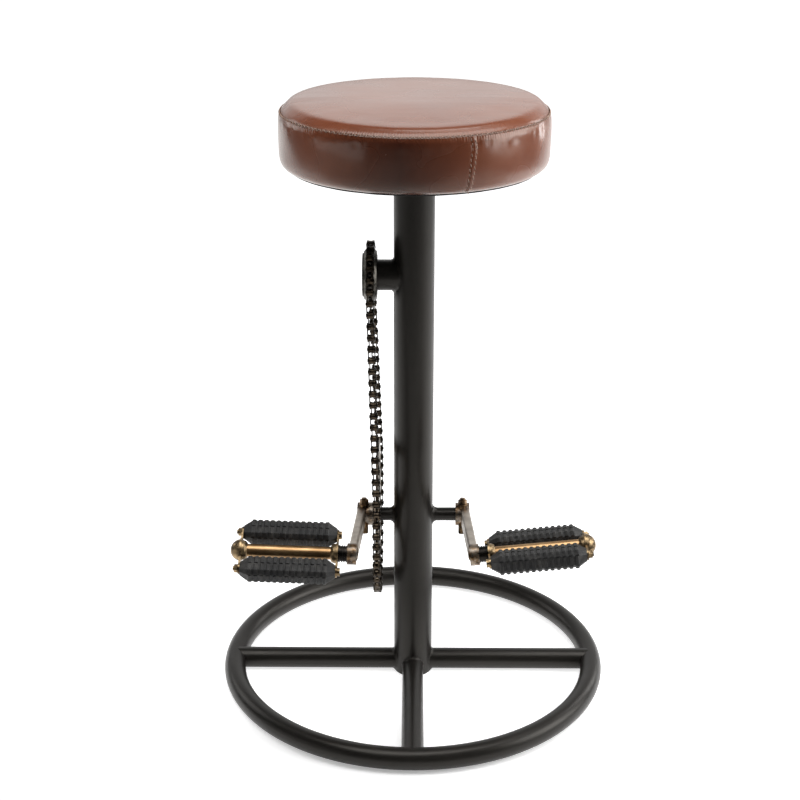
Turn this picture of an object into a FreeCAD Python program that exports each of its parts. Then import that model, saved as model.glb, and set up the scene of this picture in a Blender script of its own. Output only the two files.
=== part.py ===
import FreeCAD, Part
import math
import os
import re
import Sketcher

# Bar stool on a ring base: a leather drum seat on a column, with two cranks and
# block pedals as foot rests and a roller chain up to a freewheel on the column.
# Millimetres, +Z up, the front towards -Y, origin on the floor under the column.

doc = FreeCAD.newDocument("bar_stool")
sheet = doc.addObject("Spreadsheet::Sheet", "Sizes")
V = FreeCAD.Vector
X_AXIS = V(1, 0, 0)
Y_AXIS = V(0, 1, 0)
Z_AXIS = V(0, 0, 1)

SIZES = [
    # Base and column
    ("ring_outside_dia", "462", "base ring, outside"),
    ("ring_tube_dia", "25.4", "base ring tube"),
    ("ring_tube_wall", "2", "base ring tube wall"),
    ("spoke_tube_dia", "25", "spoke tube"),
    ("spoke_tube_wall", "2", "spoke tube wall"),
    ("column_dia", "46", "column tube"),
    ("column_wall", "2.5", "column tube wall"),
    ("base_weld_leg", "3.5", "leg of the fillet weld round a spoke"),
    # Seat
    ("seat_base_height", "632", "floor to the underside of the leather"),
    ("seat_side_height", "60", "underside to the edge seam"),
    ("seam_radius", "145.7", "circle of the edge seam"),
    ("seat_bulge_radius", "147.8", "widest circle of the side"),
    ("seat_lower_radius", "146.4", "circle where the side starts to turn under"),
    ("seat_turn_height", "9", "height of the turn under the side"),
    ("seat_crown", "12.5", "rise of the top from its edge to its middle"),
    ("leather_thick", "1.5", "leather"),
    ("leather_turn_in", "14", "leather folded under the board"),
    ("board_radius", "130", "plywood seat board"),
    ("board_thick", "15", "plywood seat board"),
    ("cover_thick", "1", "dust cover"),
    ("cover_radius", "128", "dust cover"),
    ("seat_plate_dia", "130", "steel plate on the column"),
    ("seat_plate_thick", "5", "steel plate on the column"),
    ("seat_bolt_circle", "100", "bolt circle in the plate"),
    ("seat_bolt_count", "4", "seat bolts"),
    ("seat_bolt_dia", "8", "seat bolt thread"),
    ("seat_bolt_head_width", "13", "seat bolt head across flats"),
    ("seat_bolt_head_thick", "5.3", "seat bolt head"),
    ("seat_washer_dia", "16", "seat bolt washer"),
    ("seat_washer_thick", "1.6", "seat bolt washer"),
    ("bolt_hole_play", "0.5", "bolt hole wider than the bolt"),
    ("bolt_end_gap", "1", "bolt end below the top of the board"),
    ("tee_flange_dia", "19", "tee nut flange"),
    ("tee_flange_thick", "1.5", "tee nut flange"),
    ("tee_barrel_dia", "10", "tee nut barrel"),
    ("tee_barrel_length", "10", "tee nut barrel"),
    ("staple_count", "24", "staples round the board"),
    ("staple_width", "11", "staple crown"),
    ("staple_wire", "0.7", "staple wire height"),
    ("staple_wire_width", "1.3", "staple wire width"),
    ("staple_leg", "9", "staple leg"),
    ("plate_weld_leg", "3.5", "leg of the weld under the seat plate"),
    # Crank spindle and cranks
    ("spindle_height", "209", "floor to the crank spindle"),
    ("spindle_dia", "15.9", "crank spindle"),
    ("spindle_half_length", "66.9", "crank spindle from the column axis"),
    ("spindle_weld_leg", "6", "leg of the weld on the spindle"),
    ("boss_outer", "66.4", "column axis to the outer face of the boss"),
    ("boss_width", "16.3", "crank boss along the spindle"),
    ("boss_dia", "27", "crank boss"),
    ("crank_length", "165", "spindle axis to pedal axis"),
    ("crank_rise_angle", "10", "cranks above level, pointing forward"),
    ("arm_thick", "9.8", "crank arm seen from above"),
    ("arm_root_height", "20", "crank arm at the boss"),
    ("arm_tip_height", "16", "crank arm at the eye"),
    ("arm_corner", "2.5", "crank arm corner radius"),
    ("eye_outer", "72", "column axis to the outer face of the eye"),
    ("eye_width", "10.3", "crank eye along the pedal axis"),
    ("eye_dia", "23.3", "crank eye"),
    ("eye_proud", "1.8", "eye beyond the outer side of the arm"),
    ("cotter_dia", "9.5", "cotter pin"),
    ("cotter_offset", "7.5", "spindle axis to cotter axis"),
    ("cotter_flat", "5", "spindle axis to the cotter flat"),
    ("cotter_tail", "21.5", "cotter pin below the spindle axis"),
    ("cotter_thread_dia", "6", "cotter thread"),
    ("cotter_thread_end", "21.5", "cotter thread end above the spindle axis"),
    ("cotter_washer_dia", "12", "cotter washer"),
    ("cotter_washer_thick", "1", "cotter washer"),
    ("cotter_nut_width", "9", "cotter nut across flats"),
    ("cotter_nut_thick", "5", "cotter nut"),
    # Chain, chainring and freewheel
    ("chain_pitch", "12.7", "chain pitch"),
    ("chain_links", "78", "links in the loop, an even count"),
    ("ring_plane", "41.7", "column axis to the chain on the chainring, to the left"),
    ("cog_plane", "48.7", "column axis to the chain on the freewheel, to the left"),
    ("ring_level_links", "3", "links of a run that stay level with the chainring"),
    ("cog_level_links", "2", "links of a run that stay level with the freewheel"),
    ("ring_teeth", "44", "chainring teeth"),
    ("cog_teeth", "17", "freewheel teeth"),
    ("tooth_thick", "2.9", "chainring plate and teeth"),
    ("tooth_height", "3", "tooth tip above the pitch circle"),
    ("tooth_tip", "1.8", "width of a tooth at its tip"),
    ("roller_dia", "7.75", "chain roller"),
    ("roller_seat_play", "0.12", "tooth seat radius over the roller radius"),
    ("roller_bore_play", "0.1", "roller bore over the bush radius"),
    ("bush_dia", "5.2", "chain bush"),
    ("pin_dia", "3.6", "chain pin"),
    ("pin_play", "0.15", "bush bore radius over the pin radius"),
    ("chain_inner_width", "3.5", "between the inner plates"),
    ("roller_side_play", "0.1", "roller to inner plate"),
    ("link_plate_thick", "1.2", "chain plates"),
    ("link_plate_gap", "0.15", "inner to outer plate"),
    ("link_plate_height", "8.6", "chain plate ends"),
    ("link_waist_height", "6.2", "chain plate waist"),
    ("pin_head", "0.7", "pin end beyond the outer plate"),
    ("ring_bore_dia", "24", "chainring bore on the crank spigot"),
    ("ring_flange_dia", "34", "crank flange behind the chainring"),
    ("ring_flange_thick", "2", "crank flange behind the chainring"),
    ("ring_hub_radius", "28", "chainring, solid round the bore"),
    ("ring_rim_inner", "74", "chainring, inner radius of the rim"),
    ("ring_arm_count", "5", "chainring arms"),
    ("ring_arm_width", "15", "chainring arms"),
    ("spigot_end_gap", "1", "crank spigot beyond the chainring"),
    ("stub_dia", "34.8", "freewheel stub"),
    ("stub_wall", "3", "freewheel stub wall"),
    ("stub_weld_leg", "4", "leg of the weld on the stub"),
    ("cog_body_radius", "29.8", "freewheel outer body"),
    ("cog_body_outboard", "7.5", "body from the chain plane outwards"),
    ("cog_body_inboard", "7", "body from the chain plane inwards"),
    ("cog_body_chamfer", "3", "freewheel body edges"),
    ("core_dia", "45", "freewheel core"),
    ("core_proud", "0.5", "freewheel core beyond the body"),
    ("cog_ball_dia", "3", "freewheel balls"),
    ("cog_ball_count", "26", "freewheel balls in a row"),
    ("cog_ball_inset", "2", "ball rows in from the body faces"),
    ("ball_play", "0.05", "ball to its races"),
    ("ratchet_width", "6", "ratchet ring"),
    ("ratchet_depth", "1.6", "ratchet teeth"),
    ("ratchet_teeth", "16", "ratchet teeth"),
    ("ratchet_gap", "0.4", "ratchet teeth clear of the core"),
    ("pawl_length", "6", "pawls"),
    ("pawl_thick", "2.4", "pawls"),
    ("lock_ring_dia", "49", "freewheel lock ring"),
    ("lock_ring_thick", "1.2", "freewheel lock ring"),
    ("lock_hole_dia", "2.5", "pin spanner holes"),
    # Pedals
    ("collar_dia", "18.4", "pedal spindle collar"),
    ("collar_length", "8.8", "pedal spindle collar"),
    ("collar_groove", "0.8", "grooves round the collar"),
    ("pedal_gap", "1", "collar to the inner plate"),
    ("pedal_thread_dia", "14.2", "pedal spindle thread"),
    ("end_plate_thick", "2", "pedal end plates"),
    ("end_plate_middle_dia", "26", "pedal end plate round the cup"),
    ("end_plate_end_dia", "12", "pedal end plate round a rod"),
    ("end_plate_strip", "10", "pedal end plate between them"),
    ("rod_spacing", "51", "between the two rods of a pedal"),
    ("rod_dia", "5", "pedal rod"),
    ("rod_play", "0.1", "rubber bore over the rod radius"),
    ("rod_head_dia", "9", "pedal rod head"),
    ("rod_head_thick", "3", "pedal rod head"),
    ("rod_nut_width", "8", "pedal rod nut across flats"),
    ("rod_nut_thick", "4", "pedal rod nut"),
    ("rod_end", "1.5", "pedal rod beyond its nut"),
    ("rubber_length", "103", "pedal rubber between the plates"),
    ("rubber_neck", "9", "tapered neck at each end of a rubber"),
    ("rubber_width", "27", "pedal rubber"),
    ("rubber_height", "22", "pedal rubber"),
    ("rubber_bevel", "4.2", "pedal rubber corners"),
    ("rubber_rib_depth", "1.2", "ribs on the rubber"),
    ("rubber_rib_count", "13", "ribs along the rubber"),
    ("rubber_rib_width", "4.4", "ribs along the rubber"),
    ("rubber_rib_round", "1", "rounding of a rib's edges"),
    ("rubber_notch", "2", "notches that split a rib into studs"),
    ("cup_dia", "21.5", "pedal bearing cups"),
    ("cup_length", "8", "pedal bearing cups"),
    ("cup_neck_dia", "20.4", "cup neck in the plate"),
    ("cup_lip", "1.5", "cup flange against the plate"),
    ("cup_end_dia", "16", "cup end round the tube"),
    ("pedal_tube_dia", "14", "pedal centre tube"),
    ("pedal_tube_wall", "1", "pedal centre tube wall"),
    ("pedal_tube_socket", "3", "tube end inside the cup"),
    ("race_dia", "10.5", "pedal spindle race"),
    ("pedal_ball_dia", "3.97", "pedal balls"),
    ("pedal_ball_count", "11", "pedal balls in a row"),
    ("pedal_ball_inset", "2.8", "ball row in from the plate face"),
    ("shaft_dia", "9.4", "pedal spindle between its races"),
    ("cone_thread_dia", "8", "pedal spindle outer thread"),
    ("cone_flange_dia", "17", "outer cone flange"),
    ("cone_flange_thick", "2", "outer cone flange"),
    ("cone_washer_dia", "12", "cone washer"),
    ("cone_washer_thick", "0.8", "cone washer"),
    ("cone_nut_width", "11", "cone lock nut across flats"),
    ("cone_nut_thick", "3.2", "cone lock nut"),
    ("cone_thread_proud", "1", "spindle end beyond the lock nut"),
    ("cap_radius", "12", "dust cap dome"),
    ("cap_sink", "1.6", "centre of the dome inside the plate face"),
    ("cap_wall", "1", "dust cap dome"),
    ("left_tilt_angle", "24.5", "left pedal turned, front rubber down"),
    ("right_tilt_angle", "-2.8", "right pedal turned, front rubber down"),
    ("left_lift_angle", "2.1", "left pedal spindle, outer end up"),
    ("right_lift_angle", "6", "right pedal spindle, outer end up"),
    ("left_sweep_angle", "0", "left pedal spindle, outer end back"),
    ("right_sweep_angle", "0", "right pedal spindle, outer end back"),
    # One overrun serves every through cut
    ("overrun", "5", "cutters run past what they cut"),
]

for row, (alias, value, meaning) in enumerate(SIZES, start=1):
    sheet.set("A%d" % row, alias)
    sheet.set("B%d" % row, value)
    sheet.set("C%d" % row, meaning)
    sheet.setAlias("B%d" % row, alias)
doc.recompute()
NAMES = {alias for alias, value, meaning in SIZES}


def size(alias):
    """One driving size as a number."""
    return float(sheet.get(alias))


def on_sheet(formula):
    """A formula in size names, with each name read from the sheet."""
    def refer(found):
        word = found.group()
        return "Sizes." + word if word in NAMES else word
    return re.sub(r"[A-Za-z_][A-Za-z_0-9]*", refer, formula)


def derive(alias, formula, meaning):
    """A value that follows from the driving sizes, kept on the same sheet."""
    row = len(NAMES) + 1
    sheet.set("A%d" % row, alias)
    sheet.set("B%d" % row, "=" + re.sub(r"Sizes\.", "", on_sheet(formula)))
    sheet.set("C%d" % row, meaning)
    sheet.setAlias("B%d" % row, alias)
    NAMES.add(alias)
    doc.recompute()


derive("ring_centre_radius", "ring_outside_dia / 2 - ring_tube_dia / 2", "ring tube centreline")
derive("board_bottom", "seat_base_height + leather_thick", "underside of the board")
derive("board_top", "board_bottom + board_thick", "top of the board")
derive("seam_height", "seat_base_height + seat_side_height", "edge seam")
derive("plate_top", "board_bottom - cover_thick", "top of the seat plate")
derive("column_top", "plate_top - seat_plate_thick", "top of the column")
derive("inner_plate_at", "collar_length + pedal_gap", "inner pedal plate from the eye")
derive("rubber_at", "inner_plate_at + end_plate_thick", "rubber from the eye")
derive("outer_plate_at", "rubber_at + rubber_length", "outer pedal plate from the eye")
derive("cap_at", "outer_plate_at + end_plate_thick", "dust cap from the eye")
derive("pedal_span", "inner_plate_at + cap_at", "twice the middle of the pedal")
derive("cup_bore_dia", "race_dia + 2 * pedal_ball_dia + 4 * ball_play", "cup bore")


def bind(part, **formulas):
    """Tie properties, or the place as x, y and z, to the sheet."""
    for name, formula in formulas.items():
        target = "Placement.Base." + name if name in ("x", "y", "z") else name
        part.setExpression(target, on_sheet(formula))
    return part


def rod(name, radius, height, axis=Z_AXIS, **place):
    """A cylinder along an axis."""
    part = doc.addObject("Part::Cylinder", name)
    part.Placement = FreeCAD.Placement(V(), FreeCAD.Rotation(Z_AXIS, axis))
    return bind(part, Radius=radius, Height=height, **place)


def block(name, length, width, height, **place):
    """A box from its low corner."""
    part = doc.addObject("Part::Box", name)
    return bind(part, Length=length, Width=width, Height=height, **place)


def hexagon(name, flats, height, axis=Z_AXIS, **place):
    """A hexagonal prism given across its flats."""
    part = doc.addObject("Part::Prism", name)
    part.Polygon = 6
    part.Placement = FreeCAD.Placement(V(), FreeCAD.Rotation(Z_AXIS, axis))
    return bind(part, Circumradius="(%s) / 2 / cos(30)" % flats, Height=height, **place)


def ball(name, diameter, **place):
    """A whole sphere."""
    part = doc.addObject("Part::Sphere", name)
    return bind(part, Radius="(%s) / 2" % diameter, **place)


def fuse(name, parts):
    """Several solids as one."""
    part = doc.addObject("Part::MultiFuse", name)
    part.Shapes = parts
    return part


def cut(name, base, tools):
    """A solid with others taken out of it."""
    part = doc.addObject("Part::Cut", name)
    part.Base = base
    part.Tool = tools[0] if len(tools) == 1 else fuse(name + "_tools", tools)
    return part


def group(name, parts):
    """Separate solids that share one node."""
    part = doc.addObject("Part::Compound", name)
    part.Links = parts
    return part


def formed(name, shape):
    """A sub-part whose shape comes from a formula."""
    part = doc.addObject("Part::Feature", name)
    part.Shape = shape
    return part


def turned(name, points, axis="H_Axis"):
    """A turned piece: corners in the XZ plane, each tied to the sheet."""
    body = doc.addObject("PartDesign::Body", name)
    sketch = body.newObject("Sketcher::SketchObject", name + "_profile")
    planes = {feature.Role: feature for feature in body.Origin.OriginFeatures}
    sketch.AttachmentSupport = [(planes["XZ_Plane"], "")]
    sketch.MapMode = "FlatFace"
    count = len(points)
    start = [V(count * math.cos(step * math.tau / count), count * math.sin(step * math.tau / count), 0)
             for step in range(count)]
    for step in range(count):
        sketch.addGeometry(Part.LineSegment(start[step], start[(step + 1) % count]))
    for step in range(count):
        sketch.addConstraint(Sketcher.Constraint("Coincident", step, 2, (step + 1) % count, 1))
    for step, corner in enumerate(points):
        for kind, value, formula in zip(("DistanceX", "DistanceY"), start[step], corner):
            index = sketch.addConstraint(Sketcher.Constraint(kind, -1, 1, step, 1, value))
            sketch.setExpression("Constraints[%d]" % index, on_sheet(formula))
    turn = body.newObject("PartDesign::Revolution", name + "_turned")
    turn.Profile = sketch
    turn.ReferenceAxis = (sketch, [axis])
    turn.Angle = 360
    body.Tip = turn
    return body


def weld(name, members, leg):
    """Concave fillet beads where the members of a joint meet, as solids of their own."""
    joint = fuse(name + "_joint", members)
    doc.recompute()
    crossings = [index for index, edge in enumerate(joint.Shape.Edges, start=1)
                 if is_joint_edge(edge, members)]
    filled = doc.addObject("Part::Fillet", name + "_filled")
    filled.Base = joint
    filled.Edges = [(index, size(leg), size(leg)) for index in crossings]
    return cut(name, filled, [joint])


def is_joint_edge(edge, members):
    """An edge is a joint's when it lies on the surfaces of two members."""
    middle = edge.valueAt((edge.FirstParameter + edge.LastParameter) / 2)
    point = Part.Vertex(middle)
    near = [member for member in members
            if min(face.distToShape(point)[0] for face in member.Shape.Faces) < Part.Precision.confusion() * 10]
    return len(near) > 1


NODES = []


def node(part, name):
    """Name a finished sub-part; its label names its file."""
    part.Label = name
    NODES.append(part)
    return part


# Base ring and spokes

def base_ring():
    tube = doc.addObject("Part::Torus", "ring_tube")
    bind(tube, Radius1="ring_centre_radius", Radius2="ring_tube_dia / 2", z="ring_tube_dia / 2")
    inside = doc.addObject("Part::Torus", "ring_inside")
    bind(inside, Radius1="ring_centre_radius", Radius2="ring_tube_dia / 2 - ring_tube_wall",
         z="ring_tube_dia / 2")
    node(cut("base_ring_cut", tube, [inside]), "base_ring")


def spoke(name, angle):
    """A tube from the column to the ring, coped to fit both."""
    tube = rod(name + "_tube", "spoke_tube_dia / 2", "ring_centre_radius", X_AXIS, z="ring_tube_dia / 2")
    inside = rod(name + "_inside", "spoke_tube_dia / 2 - spoke_tube_wall",
                 "ring_centre_radius + overrun", X_AXIS, z="ring_tube_dia / 2")
    column = rod(name + "_cope", "column_dia / 2", "ring_tube_dia + 2 * overrun", z="-overrun")
    ring = doc.addObject("Part::Torus", name + "_seat")
    bind(ring, Radius1="ring_centre_radius", Radius2="ring_tube_dia / 2", z="ring_tube_dia / 2")
    part = cut(name + "_cut", tube, [inside, column, ring])
    part.Placement = FreeCAD.Placement(V(), FreeCAD.Rotation(Z_AXIS, angle))
    node(part, name)


def base_welds():
    """Beads round each spoke where it meets the column."""
    beads = []
    for angle in (0, 90, 180, 270):
        name = "base_bead_%d" % angle
        column = rod(name + "_column", "column_dia / 2", "2 * column_dia", z="-column_dia")
        tube = rod(name + "_tube", "spoke_tube_dia / 2", "ring_centre_radius / 2", X_AXIS,
                   z="ring_tube_dia / 2")
        bead = weld(name, [column, tube], "base_weld_leg")
        floor = rod(name + "_floor", "ring_centre_radius", "column_dia", z="-column_dia")
        trimmed = cut(name + "_trimmed", bead, [floor])
        trimmed.Placement = FreeCAD.Placement(V(), FreeCAD.Rotation(Z_AXIS, angle))
        beads.append(trimmed)
    node(group("base_welds_group", beads), "base_weld_beads")


# Column, its two crossing pieces and their welds

def column():
    tube = rod("column_outside", "column_dia / 2", "column_top")
    inside = rod("column_inside", "column_dia / 2 - column_wall", "column_top + 2 * overrun", z="-overrun")
    across = rod("column_cross_hole", "spindle_dia / 2", "column_dia + 2 * overrun", X_AXIS,
                 x="-column_dia / 2 - overrun", z="spindle_height")
    node(cut("column_cut", tube, [inside, across]), "column_tube")


def spindle_welds():
    beads = []
    for side, reach in (("left", "-spindle_half_length"), ("right", "0")):
        name = "spindle_bead_" + side
        core = rod(name + "_column", "column_dia / 2", "column_top")
        bar = rod(name + "_bar", "spindle_dia / 2", "spindle_half_length", X_AXIS,
                  x=reach, z="spindle_height")
        beads.append(weld(name, [core, bar], "spindle_weld_leg"))
    node(group("spindle_welds_group", beads), "spindle_weld_beads")


def seat_plate():
    plate = rod("seat_plate_disc", "seat_plate_dia / 2", "seat_plate_thick", z="column_top")
    holes = [rod("seat_plate_hole_%d" % step, "seat_bolt_dia / 2 + bolt_hole_play / 2",
                 "seat_plate_thick + 2 * overrun", **bolt_place(step, "column_top - overrun"))
             for step in range(int(size("seat_bolt_count")))]
    node(cut("seat_plate_cut", plate, holes), "seat_mount_plate")
    name = "seat_plate_bead"
    core = rod(name + "_column", "column_dia / 2", "column_top")
    disc = rod(name + "_plate", "seat_plate_dia / 2", "seat_plate_thick", z="column_top")
    node(weld(name, [core, disc], "plate_weld_leg"), "seat_plate_weld_bead")


# Seat: board, bolts, foam and leather

def bolt_place(step, height):
    """Where the seat bolt of this number stands."""
    angle = 45 + 360 / int(size("seat_bolt_count")) * step
    return {"x": "seat_bolt_circle / 2 * cos(%g)" % angle,
            "y": "seat_bolt_circle / 2 * sin(%g)" % angle, "z": height}


def seat_bolts():
    bolts, washers, nuts = [], [], []
    for step in range(int(size("seat_bolt_count"))):
        name = "seat_bolt_%d" % step
        shank = rod(name + "_shank", "seat_bolt_dia / 2",
                    "board_top - bolt_end_gap - column_top + seat_washer_thick",
                    **bolt_place(step, "column_top - seat_washer_thick"))
        head = hexagon(name + "_head", "seat_bolt_head_width", "seat_bolt_head_thick",
                       **bolt_place(step, "column_top - seat_washer_thick - seat_bolt_head_thick"))
        bolts.append(fuse(name, [shank, head]))
        disc = rod(name + "_washer_disc", "seat_washer_dia / 2", "seat_washer_thick",
                   **bolt_place(step, "column_top - seat_washer_thick"))
        hole = rod(name + "_washer_hole", "seat_bolt_dia / 2", "seat_washer_thick + 2 * overrun",
                   **bolt_place(step, "column_top - seat_washer_thick - overrun"))
        washers.append(cut(name + "_washer", disc, [hole]))
        nuts.append(tee_nut(step, "seat_bolt_dia / 2"))
    node(group("seat_bolts_group", bolts), "seat_bolts")
    node(group("seat_washers_group", washers), "seat_bolt_washers")
    node(group("tee_nuts_group", nuts), "seat_tee_nuts")


def tee_nut(step, bore, tag="tee_nut"):
    """A tee nut, flush with the top of the board; with no bore it cuts its own seat."""
    name = "%s_%d" % (tag, step)
    flange = rod(name + "_flange", "tee_flange_dia / 2", "tee_flange_thick",
                 **bolt_place(step, "board_top - tee_flange_thick"))
    barrel = rod(name + "_barrel", "tee_barrel_dia / 2", "tee_barrel_length",
                 **bolt_place(step, "board_top - tee_flange_thick - tee_barrel_length"))
    body = fuse(name + "_body", [flange, barrel])
    if bore is None:
        return body
    hole = rod(name + "_bore", bore, "board_thick + 2 * overrun",
               **bolt_place(step, "board_bottom - overrun"))
    return cut(name, body, [hole])


def staple_shapes():
    """Staples round the board, as plain bent wires."""
    crown, wire, across = size("staple_width"), size("staple_wire"), size("staple_wire_width")
    leg, base = size("staple_leg"), size("seat_base_height")
    circle = size("board_radius") - size("leather_turn_in") / 2
    shapes = []
    for step in range(int(size("staple_count"))):
        top = Part.makeBox(across, crown, wire, V(circle - across / 2, -crown / 2, base - wire))
        legs = [Part.makeBox(across, wire, leg, V(circle - across / 2, place, base))
                for place in (-crown / 2, crown / 2 - wire)]
        staple = top.multiFuse(legs).removeSplitter()
        staple.rotate(V(), Z_AXIS, step * 360 / size("staple_count"))
        shapes.append(staple)
    return Part.makeCompound(shapes)


def seat_board(staples):
    disc = rod("board_disc", "board_radius", "board_thick", z="board_bottom")
    tools = [staples]
    for step in range(int(size("seat_bolt_count"))):
        tools.append(tee_nut(step, None, "board_seat"))
        tools.append(rod("board_hole_%d" % step, "seat_bolt_dia / 2 + bolt_hole_play / 2",
                         "board_thick + 2 * overrun", **bolt_place(step, "board_bottom - overrun")))
    node(cut("seat_board_cut", disc, tools), "seat_board")


def dust_cover():
    """Thin cloth under the board: flat round the plate, stepped down under the staples."""
    inner = "board_radius - leather_turn_in - leather_thick"
    step = "board_radius - leather_turn_in"
    low = "seat_base_height - staple_wire"
    cover = turned("dust_cover_body", [
        ("0", "plate_top"), (inner + " - cover_thick", "plate_top"),
        (step + " - cover_thick", low + " - cover_thick"), ("cover_radius", low + " - cover_thick"),
        ("cover_radius", low), (step, low), (inner, "board_bottom"), ("0", "board_bottom")], "V_Axis")
    holes = [rod("cover_hole_%d" % step_number, "seat_bolt_dia / 2 + bolt_hole_play / 2",
                 "2 * overrun", **bolt_place(step_number, "plate_top - overrun"))
             for step_number in range(int(size("seat_bolt_count")))]
    node(cut("dust_cover_cut", cover, holes), "dust_cover")


def arc(start, middle, end):
    """An arc in the XZ plane through three (radius, height) points."""
    return Part.Arc(*[V(radius, 0, height) for radius, height in (start, middle, end)]).toShape()


def line(start, end):
    """A straight edge in the XZ plane."""
    return Part.LineSegment(*[V(radius, 0, height) for radius, height in (start, end)]).toShape()


def revolved(edges):
    """A closed half section turned round the seat's axis."""
    return Part.Face(Part.Wire(edges)).revolve(V(), Z_AXIS, 360)


def curve(*points):
    """A smooth edge in the XZ plane through (radius, height) points."""
    through = Part.BSplineCurve()
    through.interpolate([V(radius, 0, height) for radius, height in points])
    return through.toShape()


def side_points(inset):
    """Seam, bulge, lower edge and turn-under of the seat side, drawn in by an inset."""
    base, turn = size("seat_base_height"), size("seat_turn_height")
    seam = size("seam_height")
    belly_share = 0.48
    seam_point = (size("seam_radius") - inset, seam)
    bulge = (size("seat_bulge_radius") - inset, base + (seam - base) * belly_share)
    lower = (size("seat_lower_radius") - inset, base + turn)
    under = (size("board_radius"), base + inset)
    knee_share = 0.7
    knee = (under[0] + (lower[0] - under[0]) * knee_share,
            lower[1] + (under[1] - lower[1]) * knee_share)
    return seam_point, bulge, lower, knee, under


def seat_soft_parts(staples):
    leather, base = size("leather_thick"), size("seat_base_height")
    seam, crown = size("seam_height"), size("seat_crown")
    edge_share = 0.922
    sag_share = 0.76
    outer, inner = side_points(0), side_points(leather)
    fold = size("board_radius") - size("leather_turn_in")
    band = revolved([
        curve(*outer[:3]), arc(outer[2], outer[3], outer[4]), line(outer[4], (fold, base)),
        line((fold, base), (fold, base + leather)), line((fold, base + leather), inner[4]),
        arc(inner[4], inner[3], inner[2]), curve(inner[2], inner[1], inner[0]),
        line(inner[0], outer[0])])
    formed("leather_band_whole", band)
    node(cut("leather_band_cut", doc.leather_band_whole, [staples]), "leather_side_band")

    def crown_arcs(lift):
        """The domed middle and the rounded edge of the top, at a height."""
        rim = (size("seam_radius"), seam + lift)
        shoulder = (size("seam_radius") * edge_share, seam + lift + crown * sag_share)
        middle = (0, seam + lift + crown)
        belly = ((rim[0] + shoulder[0]) / 2 + crown * sag_share / 4,
                 (rim[1] + shoulder[1]) / 2 + crown * sag_share / 4)
        drop = middle[1] - shoulder[1]
        dome = (shoulder[0] ** 2 + drop ** 2) / drop / 2
        half = (shoulder[0] / 2, middle[1] - dome + math.sqrt(dome ** 2 - shoulder[0] ** 2 / 4))
        return rim, belly, shoulder, half, middle

    low, high = crown_arcs(0), crown_arcs(leather)
    top = revolved([
        arc(*low[:3]), arc(low[2], low[3], low[4]), line(low[4], high[4]),
        arc(high[4], high[3], high[2]), arc(high[2], high[1], high[0]), line(high[0], low[0])])
    node(formed("leather_top_form", top), "leather_top_panel")
    board_edge, board_high = size("board_radius"), size("board_top")
    foam = revolved([
        line((0, board_high), (board_edge, board_high)), line((board_edge, board_high), inner[4]),
        arc(inner[4], inner[3], inner[2]), curve(inner[2], inner[1], inner[0]), line(inner[0], low[0]),
        arc(*low[:3]), arc(low[2], low[3], low[4]), line(low[4], (0, board_high))])
    node(formed("seat_foam_form", foam), "seat_foam")


# Crank spindle, cotters and cranks

CRANK_TURN = FreeCAD.Rotation(X_AXIS, -size("crank_rise_angle"))
CRANK_PLACE = FreeCAD.Placement(V(0, 0, size("spindle_height")), CRANK_TURN)


def crank_spindle():
    bar = rod("spindle_bar", "spindle_dia / 2", "2 * spindle_half_length", X_AXIS,
              x="-spindle_half_length")
    notches = [block("spindle_notch_" + side, "cotter_dia", "spindle_dia", "2 * boss_dia",
                     x=middle + " - cotter_dia / 2", y="-cotter_flat - spindle_dia", z="-boss_dia")
               for side, middle in boss_middles()]
    spindle = cut("spindle_cut", bar, notches)
    spindle.Placement = CRANK_PLACE
    node(spindle, "crank_spindle")


def boss_middles():
    """The middle of each crank boss along the spindle."""
    return ("left", "-(boss_outer - boss_width / 2)"), ("right", "boss_outer - boss_width / 2")


def cotters():
    """A cotter pin, washer and nut in each boss."""
    pins, washers, nuts = [], [], []
    face = "boss_dia / 2"
    for side, middle in boss_middles():
        place = {"x": middle, "y": "-cotter_offset"}
        shank = rod("cotter_shank_" + side, "cotter_dia / 2", "cotter_tail + boss_dia / 2",
                    z="-cotter_tail", **place)
        flat = block("cotter_flat_" + side, "cotter_dia + 2 * overrun", "cotter_dia",
                     "cotter_tail + boss_dia", x=middle + " - cotter_dia / 2 - overrun",
                     y="-cotter_flat", z="-cotter_tail")
        thread = rod("cotter_thread_" + side, "cotter_thread_dia / 2",
                     "cotter_thread_end - boss_dia / 2", z="boss_dia / 2", **place)
        pins.append(fuse("cotter_pin_" + side, [cut("cotter_body_" + side, shank, [flat]), thread]))
        disc = rod("cotter_disc_" + side, "cotter_washer_dia / 2", "cotter_washer_thick", z=face, **place)
        hole = rod("cotter_disc_hole_" + side, "cotter_thread_dia / 2", "boss_dia", z="0", **place)
        washers.append(cut("cotter_washer_" + side, disc, [hole]))
        nut = hexagon("cotter_hex_" + side, "cotter_nut_width", "cotter_nut_thick",
                      z=face + " + cotter_washer_thick", **place)
        bore = rod("cotter_hex_hole_" + side, "cotter_thread_dia / 2", "2 * boss_dia", z="0", **place)
        nuts.append(cut("cotter_nut_" + side, nut, [bore]))
    for name, parts in (("cotter_pins", pins), ("cotter_washers", washers), ("cotter_nuts", nuts)):
        part = group(name + "_group", parts)
        part.Placement = CRANK_PLACE
        node(part, name)


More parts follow.
